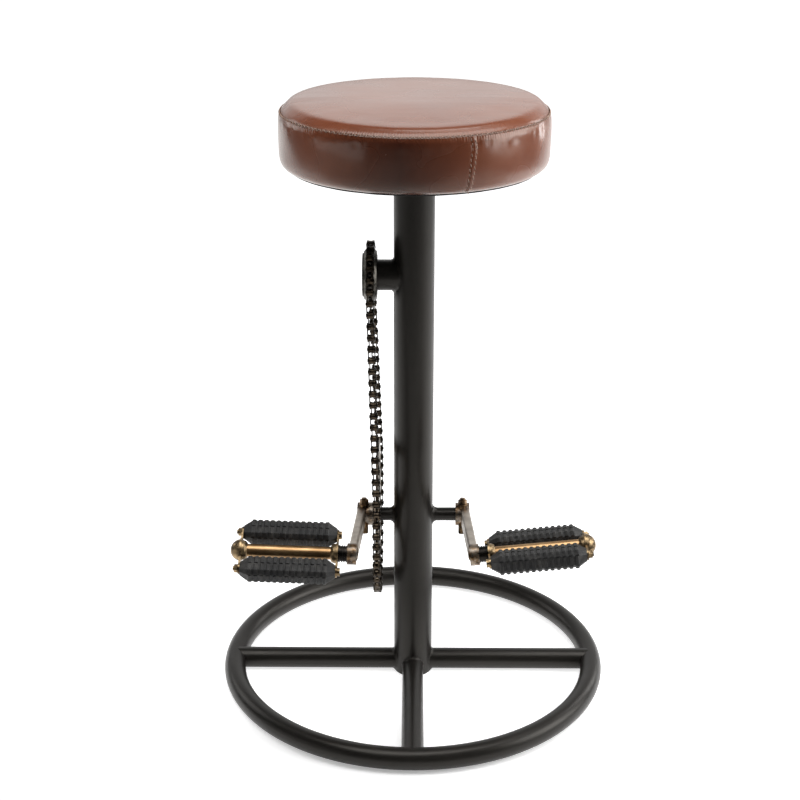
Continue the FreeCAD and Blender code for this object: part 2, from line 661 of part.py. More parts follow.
def pedal_place(side):
    """The pedal's frame: X outwards along its spindle from the outer face of the eye."""
    sweep, lift = size(side + "_sweep_angle"), size(side + "_lift_angle")
    tilt = size(side + "_tilt_angle")
    sign = 1 if side == "right" else -1
    heading = sweep if side == "right" else 180 - sweep
    turn = FreeCAD.Rotation(Z_AXIS, heading) * FreeCAD.Rotation(Y_AXIS, -lift)
    turn = turn * FreeCAD.Rotation(X_AXIS, sign * tilt)
    eye = CRANK_PLACE.multVec(V(sign * size("eye_outer"), -size("crank_length"), 0))
    return FreeCAD.Placement(eye, turn)


def rounded_section(middle, thick, height, corner, back):
    """A rounded rectangle across the arm, at a distance along it."""
    half_x, half_z = thick / 2, height / 2
    edges = []
    corners = ((1, 1), (-1, 1), (-1, -1), (1, -1))
    for step, (side, up) in enumerate(corners):
        centre = V(middle + side * (half_x - corner), back, up * (half_z - corner))
        turn = math.pi / 2 * step
        ends = [centre + V(corner * math.cos(turn + share * math.pi / 2), 0,
                           corner * math.sin(turn + share * math.pi / 2)) for share in (0, 0.5, 1)]
        edges.append(Part.Arc(*ends).toShape())
    joins = [Part.LineSegment(edges[step].lastVertex().Point,
                              edges[(step + 1) % 4].firstVertex().Point).toShape() for step in range(4)]
    return Part.Wire([edge for pair in zip(edges, joins) for edge in pair])


def crank(side):
    """A forged arm with its boss on the spindle and its eye round the pedal thread."""
    sign = 1 if side == "right" else -1
    name = side + "_crank"
    thick, corner = size("arm_thick"), size("arm_corner")
    root = sign * (size("boss_outer") - thick / 2)
    tip = sign * (size("eye_outer") - size("eye_proud") - thick / 2)
    length = size("crank_length")
    shoulder = size("boss_dia") / 2
    arm = Part.makeLoft([
        rounded_section(root, thick, size("arm_root_height"), corner, 0),
        rounded_section(root, thick, size("arm_root_height"), corner, -shoulder),
        rounded_section(tip, thick, size("arm_tip_height"), corner, shoulder - length),
        rounded_section(tip, thick, size("arm_tip_height"), corner, -length)], True, True)
    forged = formed(name + "_arm", arm)
    inner = "boss_outer - boss_width" if side == "right" else "-boss_outer"
    boss = rod(name + "_boss", "boss_dia / 2", "boss_width", X_AXIS, x=inner)
    eye = rod(name + "_eye", "eye_dia / 2", "eye_width", X_AXIS, x="0")
    bore = rod(name + "_eye_bore", "pedal_thread_dia / 2", "eye_width + 2 * overrun", X_AXIS, x="0")
    eye_place = CRANK_PLACE.inverse() * pedal_place(side)
    eye.setExpression("Placement.Base.x", None)
    bore.setExpression("Placement.Base.x", None)
    along_x = FreeCAD.Rotation(Z_AXIS, X_AXIS)
    eye.Placement = eye_place * FreeCAD.Placement(V(-size("eye_width"), 0, 0), along_x)
    bore.Placement = eye_place * FreeCAD.Placement(V(-size("eye_width") - size("overrun"), 0, 0), along_x)
    solids = [forged, boss, eye]
    if side == "left":
        solids += chainring_seat(name)
    hole = rod(name + "_spindle_hole", "spindle_dia / 2", "2 * boss_outer", X_AXIS,
               x="0" if side == "right" else "-2 * boss_outer")
    cotter_hole = rod(name + "_cotter_hole", "cotter_dia / 2", "2 * boss_dia",
                      x=dict(boss_middles())[side], y="-cotter_offset", z="-boss_dia")
    spot_face = rod(name + "_spot_face", "cotter_washer_dia / 2 + bolt_hole_play", "boss_dia",
                    x=dict(boss_middles())[side], y="-cotter_offset", z="boss_dia / 2")
    part = cut(name + "_cut", fuse(name + "_solid", solids), [hole, cotter_hole, spot_face, bore])
    part.Placement = CRANK_PLACE
    node(part, name)


def chainring_seat(name):
    """Neck, flange and spigot on the left boss that carry the chainring."""
    neck = rod(name + "_neck", "boss_dia / 2", "boss_outer - boss_width - ring_plane - tooth_thick / 2",
               X_AXIS, x="-(boss_outer - boss_width)")
    flange = rod(name + "_flange", "ring_flange_dia / 2", "ring_flange_thick", X_AXIS,
                 x="-(ring_plane + tooth_thick / 2 + ring_flange_thick)")
    spigot = rod(name + "_spigot", "ring_bore_dia / 2",
                 "boss_outer - boss_width - ring_plane + tooth_thick / 2 + spigot_end_gap", X_AXIS,
                 x="-(boss_outer - boss_width)")
    return [neck, flange, spigot]


# Chain path: seated on the chainring below and on the freewheel above

def pitch_radius(teeth):
    return size("chain_pitch") / 2 / math.sin(math.pi / teeth)


def solve_chain():
    """Seated steps on each toothed wheel and the centre distance that closes the loop."""
    ring, cog, pitch = int(size("ring_teeth")), int(size("cog_teeth")), size("chain_pitch")
    half_loop = int(size("chain_links")) // 2
    big, small = pitch_radius(ring), pitch_radius(cog)
    distance = pitch * (half_loop - (ring + cog) / 4)
    level = size("ring_level_links") + size("cog_level_links")
    offset = size("cog_plane") - size("ring_plane")
    for attempt in range(20):
        lean = math.degrees(math.asin((big - small) / distance))
        on_ring = math.floor((90 + lean) / 360 * ring + 0.5)
        on_cog = math.floor((90 - lean) / 360 * cog + 0.5)
        run = half_loop - on_ring - on_cog
        ring_turn, cog_turn = math.tau * on_ring / ring, math.tau * on_cog / cog
        side_step = big * math.sin(ring_turn) - small * math.sin(cog_turn)
        seen = level * pitch + math.sqrt(((run - level) * pitch) ** 2 - offset ** 2)
        rise = math.sqrt(seen ** 2 - side_step ** 2)
        distance = rise - big * math.cos(ring_turn) - small * math.cos(cog_turn)
    return on_ring, on_cog, run, distance


ON_RING, ON_COG, RUN, CENTRE_DISTANCE = solve_chain()
COG_HEIGHT = size("spindle_height") + CENTRE_DISTANCE
sheet.set("A%d" % (len(NAMES) + 1), "cog_height")
sheet.set("B%d" % (len(NAMES) + 1), "%.6f" % COG_HEIGHT)
sheet.setAlias("B%d" % (len(NAMES) + 1), "cog_height")
NAMES.add("cog_height")
doc.recompute()


def chain_pins():
    """Every pin round the loop, from the bottom up the front and down the back."""
    ring, cog, pitch = int(size("ring_teeth")), int(size("cog_teeth")), size("chain_pitch")
    big, small = pitch_radius(ring), pitch_radius(cog)
    low, high = size("spindle_height"), COG_HEIGHT
    near, far = -size("ring_plane"), -size("cog_plane")
    front = []
    for step in range(ON_RING + 1):
        turn = math.tau * step / ring
        front.append(V(near, -big * math.sin(turn), low - big * math.cos(turn)))
    turn = math.tau * ON_COG / cog
    start, end = front[-1], V(near, -small * math.sin(turn), high + small * math.cos(turn))
    up = (end - start).normalize()
    level = int(size("ring_level_links"))
    slanted = RUN - level - int(size("cog_level_links"))
    across = (far - near) / slanted
    along = math.sqrt(pitch ** 2 - across ** 2)
    pin = start
    for step in range(1, RUN):
        if level < step <= level + slanted:
            pin = pin + up * along + V(across, 0, 0)
        else:
            pin = pin + up * pitch
        front.append(pin)
    for step in range(ON_COG, -1, -1):
        turn = math.tau * step / cog
        front.append(V(far, -small * math.sin(turn), high + small * math.cos(turn)))
    back = [V(point.x, -point.y, point.z) for point in front[-2:0:-1]]
    return front + back


def link_plate(low, thick):
    """A chain plate with round ends and a waist, along Y, its pins a pitch apart."""
    half, end, waist = size("chain_pitch") / 2, size("link_plate_height") / 2, size("link_waist_height") / 2
    lean = math.radians(20)
    shoulder = V(low, half - end * math.sin(lean), end * math.cos(lean))

    def mirrored(point, side, up):
        return V(point.x, side * point.y, up * point.z)

    edges = [
        Part.Arc(mirrored(shoulder, 1, -1), V(low, half + end, 0), shoulder),
        Part.Arc(shoulder, V(low, 0, waist), mirrored(shoulder, -1, 1)),
        Part.Arc(mirrored(shoulder, -1, 1), V(low, -half - end, 0), mirrored(shoulder, -1, -1)),
        Part.Arc(mirrored(shoulder, -1, -1), V(low, 0, -waist), mirrored(shoulder, 1, -1))]
    return Part.Face(Part.Wire([edge.toShape() for edge in edges])).extrude(V(thick, 0, 0))


def along_x(radius, low, length, back=0):
    """A round bar along X at a distance along Y."""
    return Part.makeCylinder(radius, length, V(low, back, 0), X_AXIS)


def outer_link():
    """Two outer plates riveted on two pins."""
    inner_face = size("chain_inner_width") / 2 + size("link_plate_thick") + size("link_plate_gap")
    thick, head = size("link_plate_thick"), size("pin_head")
    half = size("chain_pitch") / 2
    reach = inner_face + thick + head
    solids = [link_plate(inner_face, thick)]
    solids += [along_x(size("pin_dia") / 2, -reach, 2 * reach, side * half) for side in (-1, 1)]
    return link_plate(-inner_face - thick, thick).multiFuse(solids).removeSplitter()


def inner_link():
    """Two inner plates pressed on two bushes."""
    face, thick, half = size("chain_inner_width") / 2, size("link_plate_thick"), size("chain_pitch") / 2
    solids = [link_plate(face, thick)]
    solids += [along_x(size("bush_dia") / 2, -face, 2 * face, side * half) for side in (-1, 1)]
    link = link_plate(-face - thick, thick).multiFuse(solids)
    reach = face + thick + size("overrun")
    bore = size("pin_dia") / 2 + size("pin_play")
    return link.cut([along_x(bore, -reach, 2 * reach, side * half) for side in (-1, 1)]).removeSplitter()


def chain_roller():
    half = size("chain_inner_width") / 2 - size("roller_side_play")
    bore = size("bush_dia") / 2 + size("roller_bore_play")
    ring = along_x(size("roller_dia") / 2, -half, 2 * half)
    return ring.cut(along_x(bore, -2 * half, 4 * half))


def chain():
    pins = chain_pins()
    outer, inner, roller = outer_link(), inner_link(), chain_roller()
    links = {"outer": [], "inner": []}
    rollers = []
    for step, pin in enumerate(pins):
        after = pins[(step + 1) % len(pins)]
        along = (after - pin).normalize()
        across = (X_AXIS - along * along.x).normalize()
        turn = FreeCAD.Rotation(across, along, across.cross(along), "YXZ")
        place = FreeCAD.Placement((pin + after) / 2, turn)
        kind, model = ("outer", outer) if step % 2 == 0 else ("inner", inner)
        links[kind].append(model.transformed(place.Matrix, copy=True))
        if kind == "inner":
            rollers += [roller.transformed(FreeCAD.Placement(end, turn).Matrix, copy=True)
                        for end in (pin, after)]
    node(formed("chain_outer", Part.makeCompound(links["outer"])), "chain_outer_links")
    node(formed("chain_inner", Part.makeCompound(links["inner"])), "chain_inner_links")
    node(formed("chain_roller_set", Part.makeCompound(rollers)), "chain_rollers")


# Toothed wheels

def toothed_face(teeth, at_x, height, phase):
    """Outline of a chain wheel: a round seat for each roller and straight flanks."""
    radius = pitch_radius(teeth)
    seat = size("roller_dia") / 2 + size("roller_seat_play")
    tip = radius + size("tooth_height")
    tip_turn = size("tooth_tip") / 2 / tip
    wrap = math.radians(65)
    edges, last, first = [], None, None
    for step in range(teeth):
        turn = phase + math.tau * step / teeth
        out, side = V(0, math.sin(turn), math.cos(turn)), V(0, math.cos(turn), -math.sin(turn))
        middle = V(at_x, 0, height) + out * radius
        seats = [middle - out * seat * math.cos(share * wrap) + side * seat * math.sin(share * wrap)
                 for share in (-1, 0, 1)]
        tips = [V(at_x, tip * math.sin(turn + offset), height + tip * math.cos(turn + offset))
                for offset in (tip_turn - math.pi / teeth, math.pi / teeth - tip_turn)]
        if last is not None:
            edges.append(Part.LineSegment(last, tips[0]).toShape())
        first = first or tips[0]
        edges += [Part.LineSegment(tips[0], seats[0]).toShape(), Part.Arc(*seats).toShape(),
                  Part.LineSegment(seats[2], tips[1]).toShape()]
        last = tips[1]
    edges.append(Part.LineSegment(last, first).toShape())
    return Part.Face(Part.Wire(edges))


def chainring():
    """Toothed plate with windows between its arms, on the left crank's spigot."""
    thick, plane, height = size("tooth_thick"), -size("ring_plane"), size("spindle_height")
    face = toothed_face(int(size("ring_teeth")), plane - thick / 2, height, math.pi)
    blank = formed("chainring_blank", face.extrude(V(thick, 0, 0)))
    rim = rod("chainring_window_rim", "ring_rim_inner", "tooth_thick + 2 * overrun", X_AXIS,
              x="-ring_plane - tooth_thick / 2 - overrun", z="spindle_height")
    hub = rod("chainring_window_hub", "ring_hub_radius", "tooth_thick + 4 * overrun", X_AXIS,
              x="-ring_plane - tooth_thick / 2 - 2 * overrun", z="spindle_height")
    arms = []
    for step in range(int(size("ring_arm_count"))):
        arm = doc.addObject("Part::Box", "chainring_arm_%d" % step)
        bind(arm, Length="tooth_thick + 4 * overrun", Width="ring_arm_width", Height="ring_rim_inner + overrun")
        turn = FreeCAD.Rotation(X_AXIS, 360 / size("ring_arm_count") * step)
        corner = V(-thick / 2 - 2 * size("overrun"), -size("ring_arm_width") / 2, 0)
        arm.Placement = FreeCAD.Placement(V(plane, 0, height) + turn.multVec(corner), turn)
        arms.append(arm)
    windows = cut("chainring_windows", rim, [hub] + arms)
    bore = rod("chainring_bore", "ring_bore_dia / 2", "tooth_thick + 2 * overrun", X_AXIS,
               x="-ring_plane - tooth_thick / 2 - overrun", z="spindle_height")
    node(cut("chainring_cut", blank, [windows, bore]), "chainring")


def freewheel_stub():
    reach = "cog_plane + cog_body_outboard + core_proud"
    tube = rod("stub_outside", "stub_dia / 2", reach, X_AXIS, x="-(%s)" % reach, z="cog_height")
    inside = rod("stub_inside", "stub_dia / 2 - stub_wall", reach + " + 2 * overrun", X_AXIS,
                 x="-(%s) - overrun" % reach, z="cog_height")
    core = rod("stub_cope", "column_dia / 2", "column_top")
    node(cut("stub_cut", tube, [inside, core]), "freewheel_stub")
    column_core = rod("stub_bead_column", "column_dia / 2", "column_top")
    bar = rod("stub_bead_bar", "stub_dia / 2", "cog_plane", X_AXIS, x="-cog_plane", z="cog_height")
    node(weld("stub_bead", [column_core, bar], "stub_weld_leg"), "stub_weld_bead")


def ratchet_face(at_x):
    """Saw teeth that the pawls catch, as the opening of the ratchet ring."""
    inner = size("core_dia") / 2 + size("ratchet_gap")
    outer = inner + size("ratchet_depth")
    count = int(size("ratchet_teeth"))
    points = []
    for step in range(count):
        turn = math.tau * step / count
        for radius in (inner, outer):
            points.append(V(at_x, radius * math.sin(turn), COG_HEIGHT + radius * math.cos(turn)))
    return Part.Face(Part.makePolygon(points + points[:1]))


def freewheel():
    plane, core_radius = -size("cog_plane"), size("core_dia") / 2
    outboard, inboard = size("cog_body_outboard"), size("cog_body_inboard")
    ball_radius, play = size("cog_ball_dia") / 2, size("ball_play")
    thick, ratchet = size("tooth_thick"), size("ratchet_width")
    centre = V(plane, 0, COG_HEIGHT)

    def disc(radius, low, high):
        return Part.makeCylinder(radius, high - low, centre + V(low, 0, 0), X_AXIS)

    body = disc(size("cog_body_radius"), -outboard, inboard)
    rims = [edge for edge in body.Edges if edge.Curve.TypeId == "Part::GeomCircle"]
    body = body.makeChamfer(size("cog_body_chamfer"), rims)
    teeth = toothed_face(int(size("cog_teeth")), plane - thick / 2, COG_HEIGHT, 0).extrude(V(thick, 0, 0))
    race = core_radius + 2 * ball_radius + 2 * play
    body = body.fuse(teeth).cut(disc(race, -2 * outboard, 2 * inboard))
    saw = ratchet_face(plane - ratchet).extrude(V(2 * ratchet, 0, 0))
    body = body.fuse(disc(race, -ratchet / 2, ratchet / 2).cut(saw)).removeSplitter()
    node(formed("freewheel_body_form", body), "freewheel_sprocket")

    stub = size("stub_dia") / 2
    proud = size("core_proud")
    pawl_long, pawl_thick = size("pawl_length"), size("pawl_thick")
    pawls = []
    for turn in (0, 180):
        low = V(-ratchet / 2, -pawl_long / 2, core_radius + size("ratchet_gap") - pawl_thick)
        pawl = Part.makeBox(ratchet, pawl_long, pawl_thick, low)
        pawl = pawl.common(Part.makeCylinder(core_radius + size("ratchet_gap"), 2 * ratchet,
                                             V(-ratchet, 0, 0), X_AXIS))
        pawl.rotate(V(), X_AXIS, turn)
        pawls.append(pawl.translated(centre))
    core = disc(core_radius, -outboard - proud, inboard + proud)
    core = core.cut([disc(stub, -2 * outboard, 2 * inboard)] + pawls)
    node(formed("freewheel_core_form", core), "freewheel_core")
    node(formed("freewheel_pawl_set", Part.makeCompound(pawls)), "freewheel_pawls")

    balls = []
    count = int(size("cog_ball_count"))
    for row in (-outboard + size("cog_ball_inset"), inboard - size("cog_ball_inset")):
        for step in range(count):
            turn = math.tau * step / count
            reach = core_radius + ball_radius + play
            balls.append(Part.makeSphere(ball_radius, centre + V(
                row, reach * math.sin(turn), reach * math.cos(turn))))
    node(formed("freewheel_ball_set", Part.makeCompound(balls)), "freewheel_balls")

    lock = size("lock_ring_thick")
    ring = disc(size("lock_ring_dia") / 2, -outboard - proud - lock, -outboard - proud)
    holes = [Part.makeCylinder(size("lock_hole_dia") / 2, 2 * lock, centre + V(
        -outboard - proud - 1.5 * lock, side * (core_radius + stub) / 2, 0), X_AXIS) for side in (-1, 1)]
    ring = ring.cut([disc(stub, -2 * outboard - lock, 0)] + holes)
    node(formed("freewheel_lock_ring_form", ring), "freewheel_lock_ring")


# Pedals, each built in its own frame with X outwards along its spindle

def pedal_spindle(side):
    seal = "(cup_bore_dia - 8 * ball_play) / 2"
    inner_end = "inner_plate_at + pedal_ball_inset - pedal_ball_dia / 2 - 2 * ball_play"
    outer_race = "pedal_span - inner_plate_at - pedal_ball_inset - pedal_ball_dia"
    groove = "collar_dia / 2 - collar_groove"
    points = [("-eye_width", "0"), ("-eye_width", "pedal_thread_dia / 2"), ("0", "pedal_thread_dia / 2"),
              ("0", "collar_dia / 2")]
    for step in (1, 3, 5):
        low, high = "collar_length * %d / 7" % step, "collar_length * %d / 7" % (step + 1)
        points += [(low, "collar_dia / 2"), (low, groove), (high, groove), (high, "collar_dia / 2")]
    points += [("collar_length", "collar_dia / 2"), ("collar_length", seal), (inner_end, seal),
               (inner_end, "race_dia / 2"), ("inner_plate_at + cup_length", "race_dia / 2"),
               ("inner_plate_at + cup_length", "shaft_dia / 2"), (outer_race, "shaft_dia / 2"),
               (outer_race, "cone_thread_dia / 2"), (spindle_end(), "cone_thread_dia / 2"),
               (spindle_end(), "0")]
    part = turned(side + "_pedal_spindle_body", points)
    part.Placement = pedal_place(side)
    node(part, side + "_pedal_spindle")


def cone_face():
    """Outer face of the outer cone, from the eye."""
    return ("pedal_span - (inner_plate_at + pedal_ball_inset - pedal_ball_dia / 2 - 2 * ball_play)"
            " + cone_flange_thick")


def spindle_end():
    return cone_face() + " + cone_washer_thick + cone_nut_thick + cone_thread_proud"


def outer_cones():
    """Cone, washer and lock nut on the outer end of each pedal spindle."""
    cones, washers, nuts = [], [], []
    flange = cone_face() + " - cone_flange_thick"
    start = "pedal_span - inner_plate_at - pedal_ball_inset - pedal_ball_dia"
    for side in ("left", "right"):
        cone = turned(side + "_cone", [
            (start, "cone_thread_dia / 2"), (start, "race_dia / 2"), (flange, "race_dia / 2"),
            (flange, "cone_flange_dia / 2"), (cone_face(), "cone_flange_dia / 2"),
            (cone_face(), "cone_thread_dia / 2")])
        washer = turned(side + "_cone_washer", [
            (cone_face(), "cone_thread_dia / 2"), (cone_face(), "cone_washer_dia / 2"),
            (cone_face() + " + cone_washer_thick", "cone_washer_dia / 2"),
            (cone_face() + " + cone_washer_thick", "cone_thread_dia / 2")])
        hexagonal = hexagon(side + "_cone_hex", "cone_nut_width", "cone_nut_thick", X_AXIS,
                            x=cone_face() + " + cone_washer_thick")
        hole = rod(side + "_cone_hex_hole", "cone_thread_dia / 2", spindle_end() + " + overrun", X_AXIS, x="0")
        nut = cut(side + "_cone_nut", hexagonal, [hole])
        for part, kind in ((cone, cones), (washer, washers), (nut, nuts)):
            part.Placement = pedal_place(side)
            kind.append(part)
    node(group("cones_group", cones), "pedal_outer_cones")
    node(group("cone_washers_group", washers), "pedal_cone_washers")
    node(group("cone_nuts_group", nuts), "pedal_cone_locknuts")


def end_plate(name, at_x):
    """A flat link round the cup and both rods."""
    middle = rod(name + "_middle", "end_plate_middle_dia / 2", "end_plate_thick", X_AXIS, x=at_x)
    strip = block(name + "_strip", "end_plate_thick", "rod_spacing", "end_plate_strip",
                  x=at_x, y="-rod_spacing / 2", z="-end_plate_strip / 2")
    ends = [rod(name + "_end_%d" % step, "end_plate_end_dia / 2", "end_plate_thick", X_AXIS,
                x=at_x, y=place) for step, place in enumerate(rod_places())]
    holes = [rod(name + "_hole_%d" % step, "rod_dia / 2", "end_plate_thick + 2 * overrun", X_AXIS,
                 x=at_x + " - overrun", y=place) for step, place in enumerate(rod_places())]
    neck = rod(name + "_neck_hole", "cup_neck_dia / 2", "end_plate_thick + 2 * overrun", X_AXIS,
               x=at_x + " - overrun")
    return cut(name, fuse(name + "_solid", [middle, strip] + ends), holes + [neck])


def rod_places():
    return "-rod_spacing / 2", "rod_spacing / 2"


def pedal_cup(name, outward):
    """A flared bearing cup; the outer one is the inner one turned round."""
    def at(distance):
        inner = "inner_plate_at + (%s)" % distance
        return inner if outward else "pedal_span - (%s)" % inner
    shoulder = "pedal_ball_inset + pedal_ball_dia / 2 + ball_play"
    neck = "end_plate_thick"
    return turned(name, [
        (at("0"), "cup_bore_dia / 2"), (at("0"), "cup_neck_dia / 2"), (at(neck), "cup_neck_dia / 2"),
        (at(neck), "cup_dia / 2"), (at(neck + " + cup_lip"), "cup_dia / 2"),
        (at("cup_length * 2 / 3"), "cup_dia / 2 - cup_lip / 3"),
        (at("cup_length * 7 / 8"), "cup_dia / 2 - cup_lip"),
        (at("cup_length"), "cup_end_dia / 2"), (at("cup_length"), "pedal_tube_dia / 2"),
        (at("cup_length - pedal_tube_socket"), "pedal_tube_dia / 2"),
        (at("cup_length - pedal_tube_socket"), "pedal_tube_dia / 2 - pedal_tube_wall"),
        (at(shoulder), "pedal_tube_dia / 2 - pedal_tube_wall"), (at(shoulder), "cup_bore_dia / 2")])


def rib_wire(at_x, inset):
    """Section of a rubber rib: bevelled, with notches that leave studs, drawn in by an inset."""
    half_w, half_h = size("rubber_width") / 2, size("rubber_height") / 2
    bevel, notch, depth = size("rubber_bevel"), size("rubber_notch"), size("rubber_rib_depth")
    edge_w, edge_h = half_w - inset, half_h - inset
    quarter = [(edge_w, half_h - bevel - notch), (half_w - depth, half_h - bevel - notch),
               (half_w - depth, half_h - bevel), (half_w - bevel, edge_h), (notch / 2, edge_h),
               (notch / 2, half_h - depth)]
    points = quarter + [(-u, v) for u, v in reversed(quarter)]
    points += [(-u, -v) for u, v in quarter] + [(u, -v) for u, v in reversed(quarter)]
    corners = [V(at_x, u, v) for u, v in points]
    return Part.makePolygon(corners + corners[:1])


def rubber_shape():
    """A ribbed rubber block on its rod, with a tapered neck at each end."""
    start, length, neck = size("rubber_at"), size("rubber_length"), size("rubber_neck")
    width, height, bevel = size("rubber_width"), size("rubber_height"), size("rubber_bevel")
    depth, rib, count = size("rubber_rib_depth"), size("rubber_rib_width"), int(size("rubber_rib_count"))

    def section(at_x, w, h, b):
        points = [(w / 2, h / 2 - b), (w / 2 - b, h / 2), (b - w / 2, h / 2), (-w / 2, h / 2 - b),
                  (-w / 2, b - h / 2), (b - w / 2, -h / 2), (w / 2 - b, -h / 2), (w / 2, b - h / 2)]
        corners = [V(at_x, u, v) for u, v in points]
        return Part.makePolygon(corners + corners[:1])

    core_w, core_h = width - 2 * depth, height - 2 * depth
    end_share = 0.55
    wires = [section(start, core_w * end_share, core_h * end_share, bevel * end_share),
             section(start + neck, core_w, core_h, bevel),
             section(start + length - neck, core_w, core_h, bevel),
             section(start + length, core_w * end_share, core_h * end_share, bevel * end_share)]
    core = Part.makeLoft(wires, True, True)
    gap = (length - 2 * neck - rib) / (count - 1)
    ease = size("rubber_rib_round")
    ribs = []
    for step in range(count):
        low = start + neck + gap * step
        ribs.append(Part.makeLoft([rib_wire(low, ease), rib_wire(low + ease, 0),
                                   rib_wire(low + rib - ease, 0), rib_wire(low + rib, ease)], True, True))
    block_shape = core.multiFuse(ribs)
    bore = size("rod_dia") / 2 + size("rod_play")
    return block_shape.cut(Part.makeCylinder(bore, 2 * length, V(start - length / 2, 0, 0), X_AXIS))


def pedal(side):
    place = pedal_place(side)

    def placed(part, name):
        part.Placement = place
        node(part, side + "_pedal_" + name)

    prefix = side + "_"
    tube_start = "inner_plate_at + cup_length - pedal_tube_socket"
    placed(turned(prefix + "tube", [
        (tube_start, "pedal_tube_dia / 2 - pedal_tube_wall"), (tube_start, "pedal_tube_dia / 2"),
        ("pedal_span - (%s)" % tube_start, "pedal_tube_dia / 2"),
        ("pedal_span - (%s)" % tube_start, "pedal_tube_dia / 2 - pedal_tube_wall")]), "centre_tube")
    placed(end_plate(prefix + "inner_link", "inner_plate_at"), "inner_plate")
    placed(end_plate(prefix + "outer_link", "outer_plate_at"), "outer_plate")
    placed(group(prefix + "cups", [pedal_cup(prefix + "inner_cup", True),
                                   pedal_cup(prefix + "outer_cup", False)]), "bearing_cups")
    rubbers = [rubber_shape().translated(V(0, shift * size("rod_spacing") / 2, 0)) for shift in (-1, 1)]
    placed(formed(prefix + "rubber_pair", Part.makeCompound(rubbers)), "rubbers")
    rods, nuts = [], []
    for step, at_y in enumerate(rod_places()):
        name = prefix + "rod_%d" % step
        head = rod(name + "_head", "rod_head_dia / 2", "rod_head_thick", X_AXIS,
                   x="inner_plate_at - rod_head_thick", y=at_y)
        shank = rod(name + "_shank", "rod_dia / 2",
                    "cap_at - inner_plate_at + rod_head_thick + rod_nut_thick + rod_end", X_AXIS,
                    x="inner_plate_at - rod_head_thick", y=at_y)
        rods.append(fuse(name, [head, shank]))
        nut = hexagon(name + "_hex", "rod_nut_width", "rod_nut_thick", X_AXIS, x="cap_at", y=at_y)
        bore = rod(name + "_hex_hole", "rod_dia / 2", "rod_nut_thick + 2 * overrun", X_AXIS,
                   x="cap_at - overrun", y=at_y)
        nuts.append(cut(name + "_nut", nut, [bore]))
    placed(group(prefix + "rods", rods), "rods")
    placed(group(prefix + "nuts", nuts), "rod_nuts")
    placed(dust_cap(prefix + "cap"), "dust_cap")
    placed(formed(prefix + "ball_rows", pedal_balls()), "balls")


def dust_cap(name):
    """A pressed dome over the outer bearing."""
    dome = bind(doc.addObject("Part::Sphere", name + "_dome"), Radius="cap_radius", x="cap_at - cap_sink")
    hollow = bind(doc.addObject("Part::Sphere", name + "_hollow"), Radius="cap_radius - cap_wall",
                  x="cap_at - cap_sink")
    inboard = rod(name + "_inboard", "2 * cap_radius", "2 * cap_radius", X_AXIS, x="cap_at - 2 * cap_radius")
    return cut(name, dome, [hollow, inboard])


def pedal_balls():
    radius = size("pedal_ball_dia") / 2
    reach = size("race_dia") / 2 + radius + size("ball_play")
    near = size("inner_plate_at") + size("pedal_ball_inset")
    count = int(size("pedal_ball_count"))
    balls = []
    for row in (near, size("pedal_span") - near):
        for step in range(count):
            turn = math.tau * step / count
            balls.append(Part.makeSphere(radius, V(row, reach * math.sin(turn), reach * math.cos(turn))))
    return Part.makeCompound(balls)


base_ring()
for name, angle in (("spoke_right", 0), ("spoke_rear", 90), ("spoke_left", 180), ("spoke_front", 270)):
    spoke("base_" + name, angle)
base_welds()
column()
spindle_welds()
seat_plate()
seat_bolts()
staple_set = formed("staple_set", staple_shapes())
node(staple_set, "seat_staples")
seat_board(staple_set)
dust_cover()
seat_soft_parts(staple_set)
crank_spindle()
cotters()
crank("left")
crank("right")
chainring()
chain()
freewheel_stub()
freewheel()
for side in ("left", "right"):
    pedal_spindle(side)
outer_cones()
for side in ("left", "right"):
    pedal(side)
doc.recompute()

# Every object must be up to date and every sub-part sound before anything is written
for part in doc.Objects:
    assert not {"Invalid", "Error"} & set(part.State), part.Name
for part in NODES:
    assert not part.Shape.isNull() and part.Shape.isValid(), part.Label
print("nodes", len(NODES), "solids", sum(len(part.Shape.Solids) for part in NODES))
print("chain: seated", ON_RING, ON_COG, "run", RUN, "centres", round(CENTRE_DISTANCE, 3))

os.makedirs("parts", exist_ok=True)
for part in NODES:
    part.Shape.exportStep("parts/%s.step" % part.Label)
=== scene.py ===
import math
import bmesh
import bpy
from mathutils import Matrix, Vector, noise
from mathutils.bvhtree import BVHTree


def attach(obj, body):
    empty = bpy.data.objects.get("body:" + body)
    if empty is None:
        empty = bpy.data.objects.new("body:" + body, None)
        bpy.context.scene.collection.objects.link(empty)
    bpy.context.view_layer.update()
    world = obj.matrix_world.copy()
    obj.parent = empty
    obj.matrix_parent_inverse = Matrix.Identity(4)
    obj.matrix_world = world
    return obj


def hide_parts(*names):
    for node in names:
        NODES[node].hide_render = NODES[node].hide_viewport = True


# Bar stool with a leather drum seat, a ring base, crank foot rests and a chain.
# Metres, +Z up, the front towards -Y.

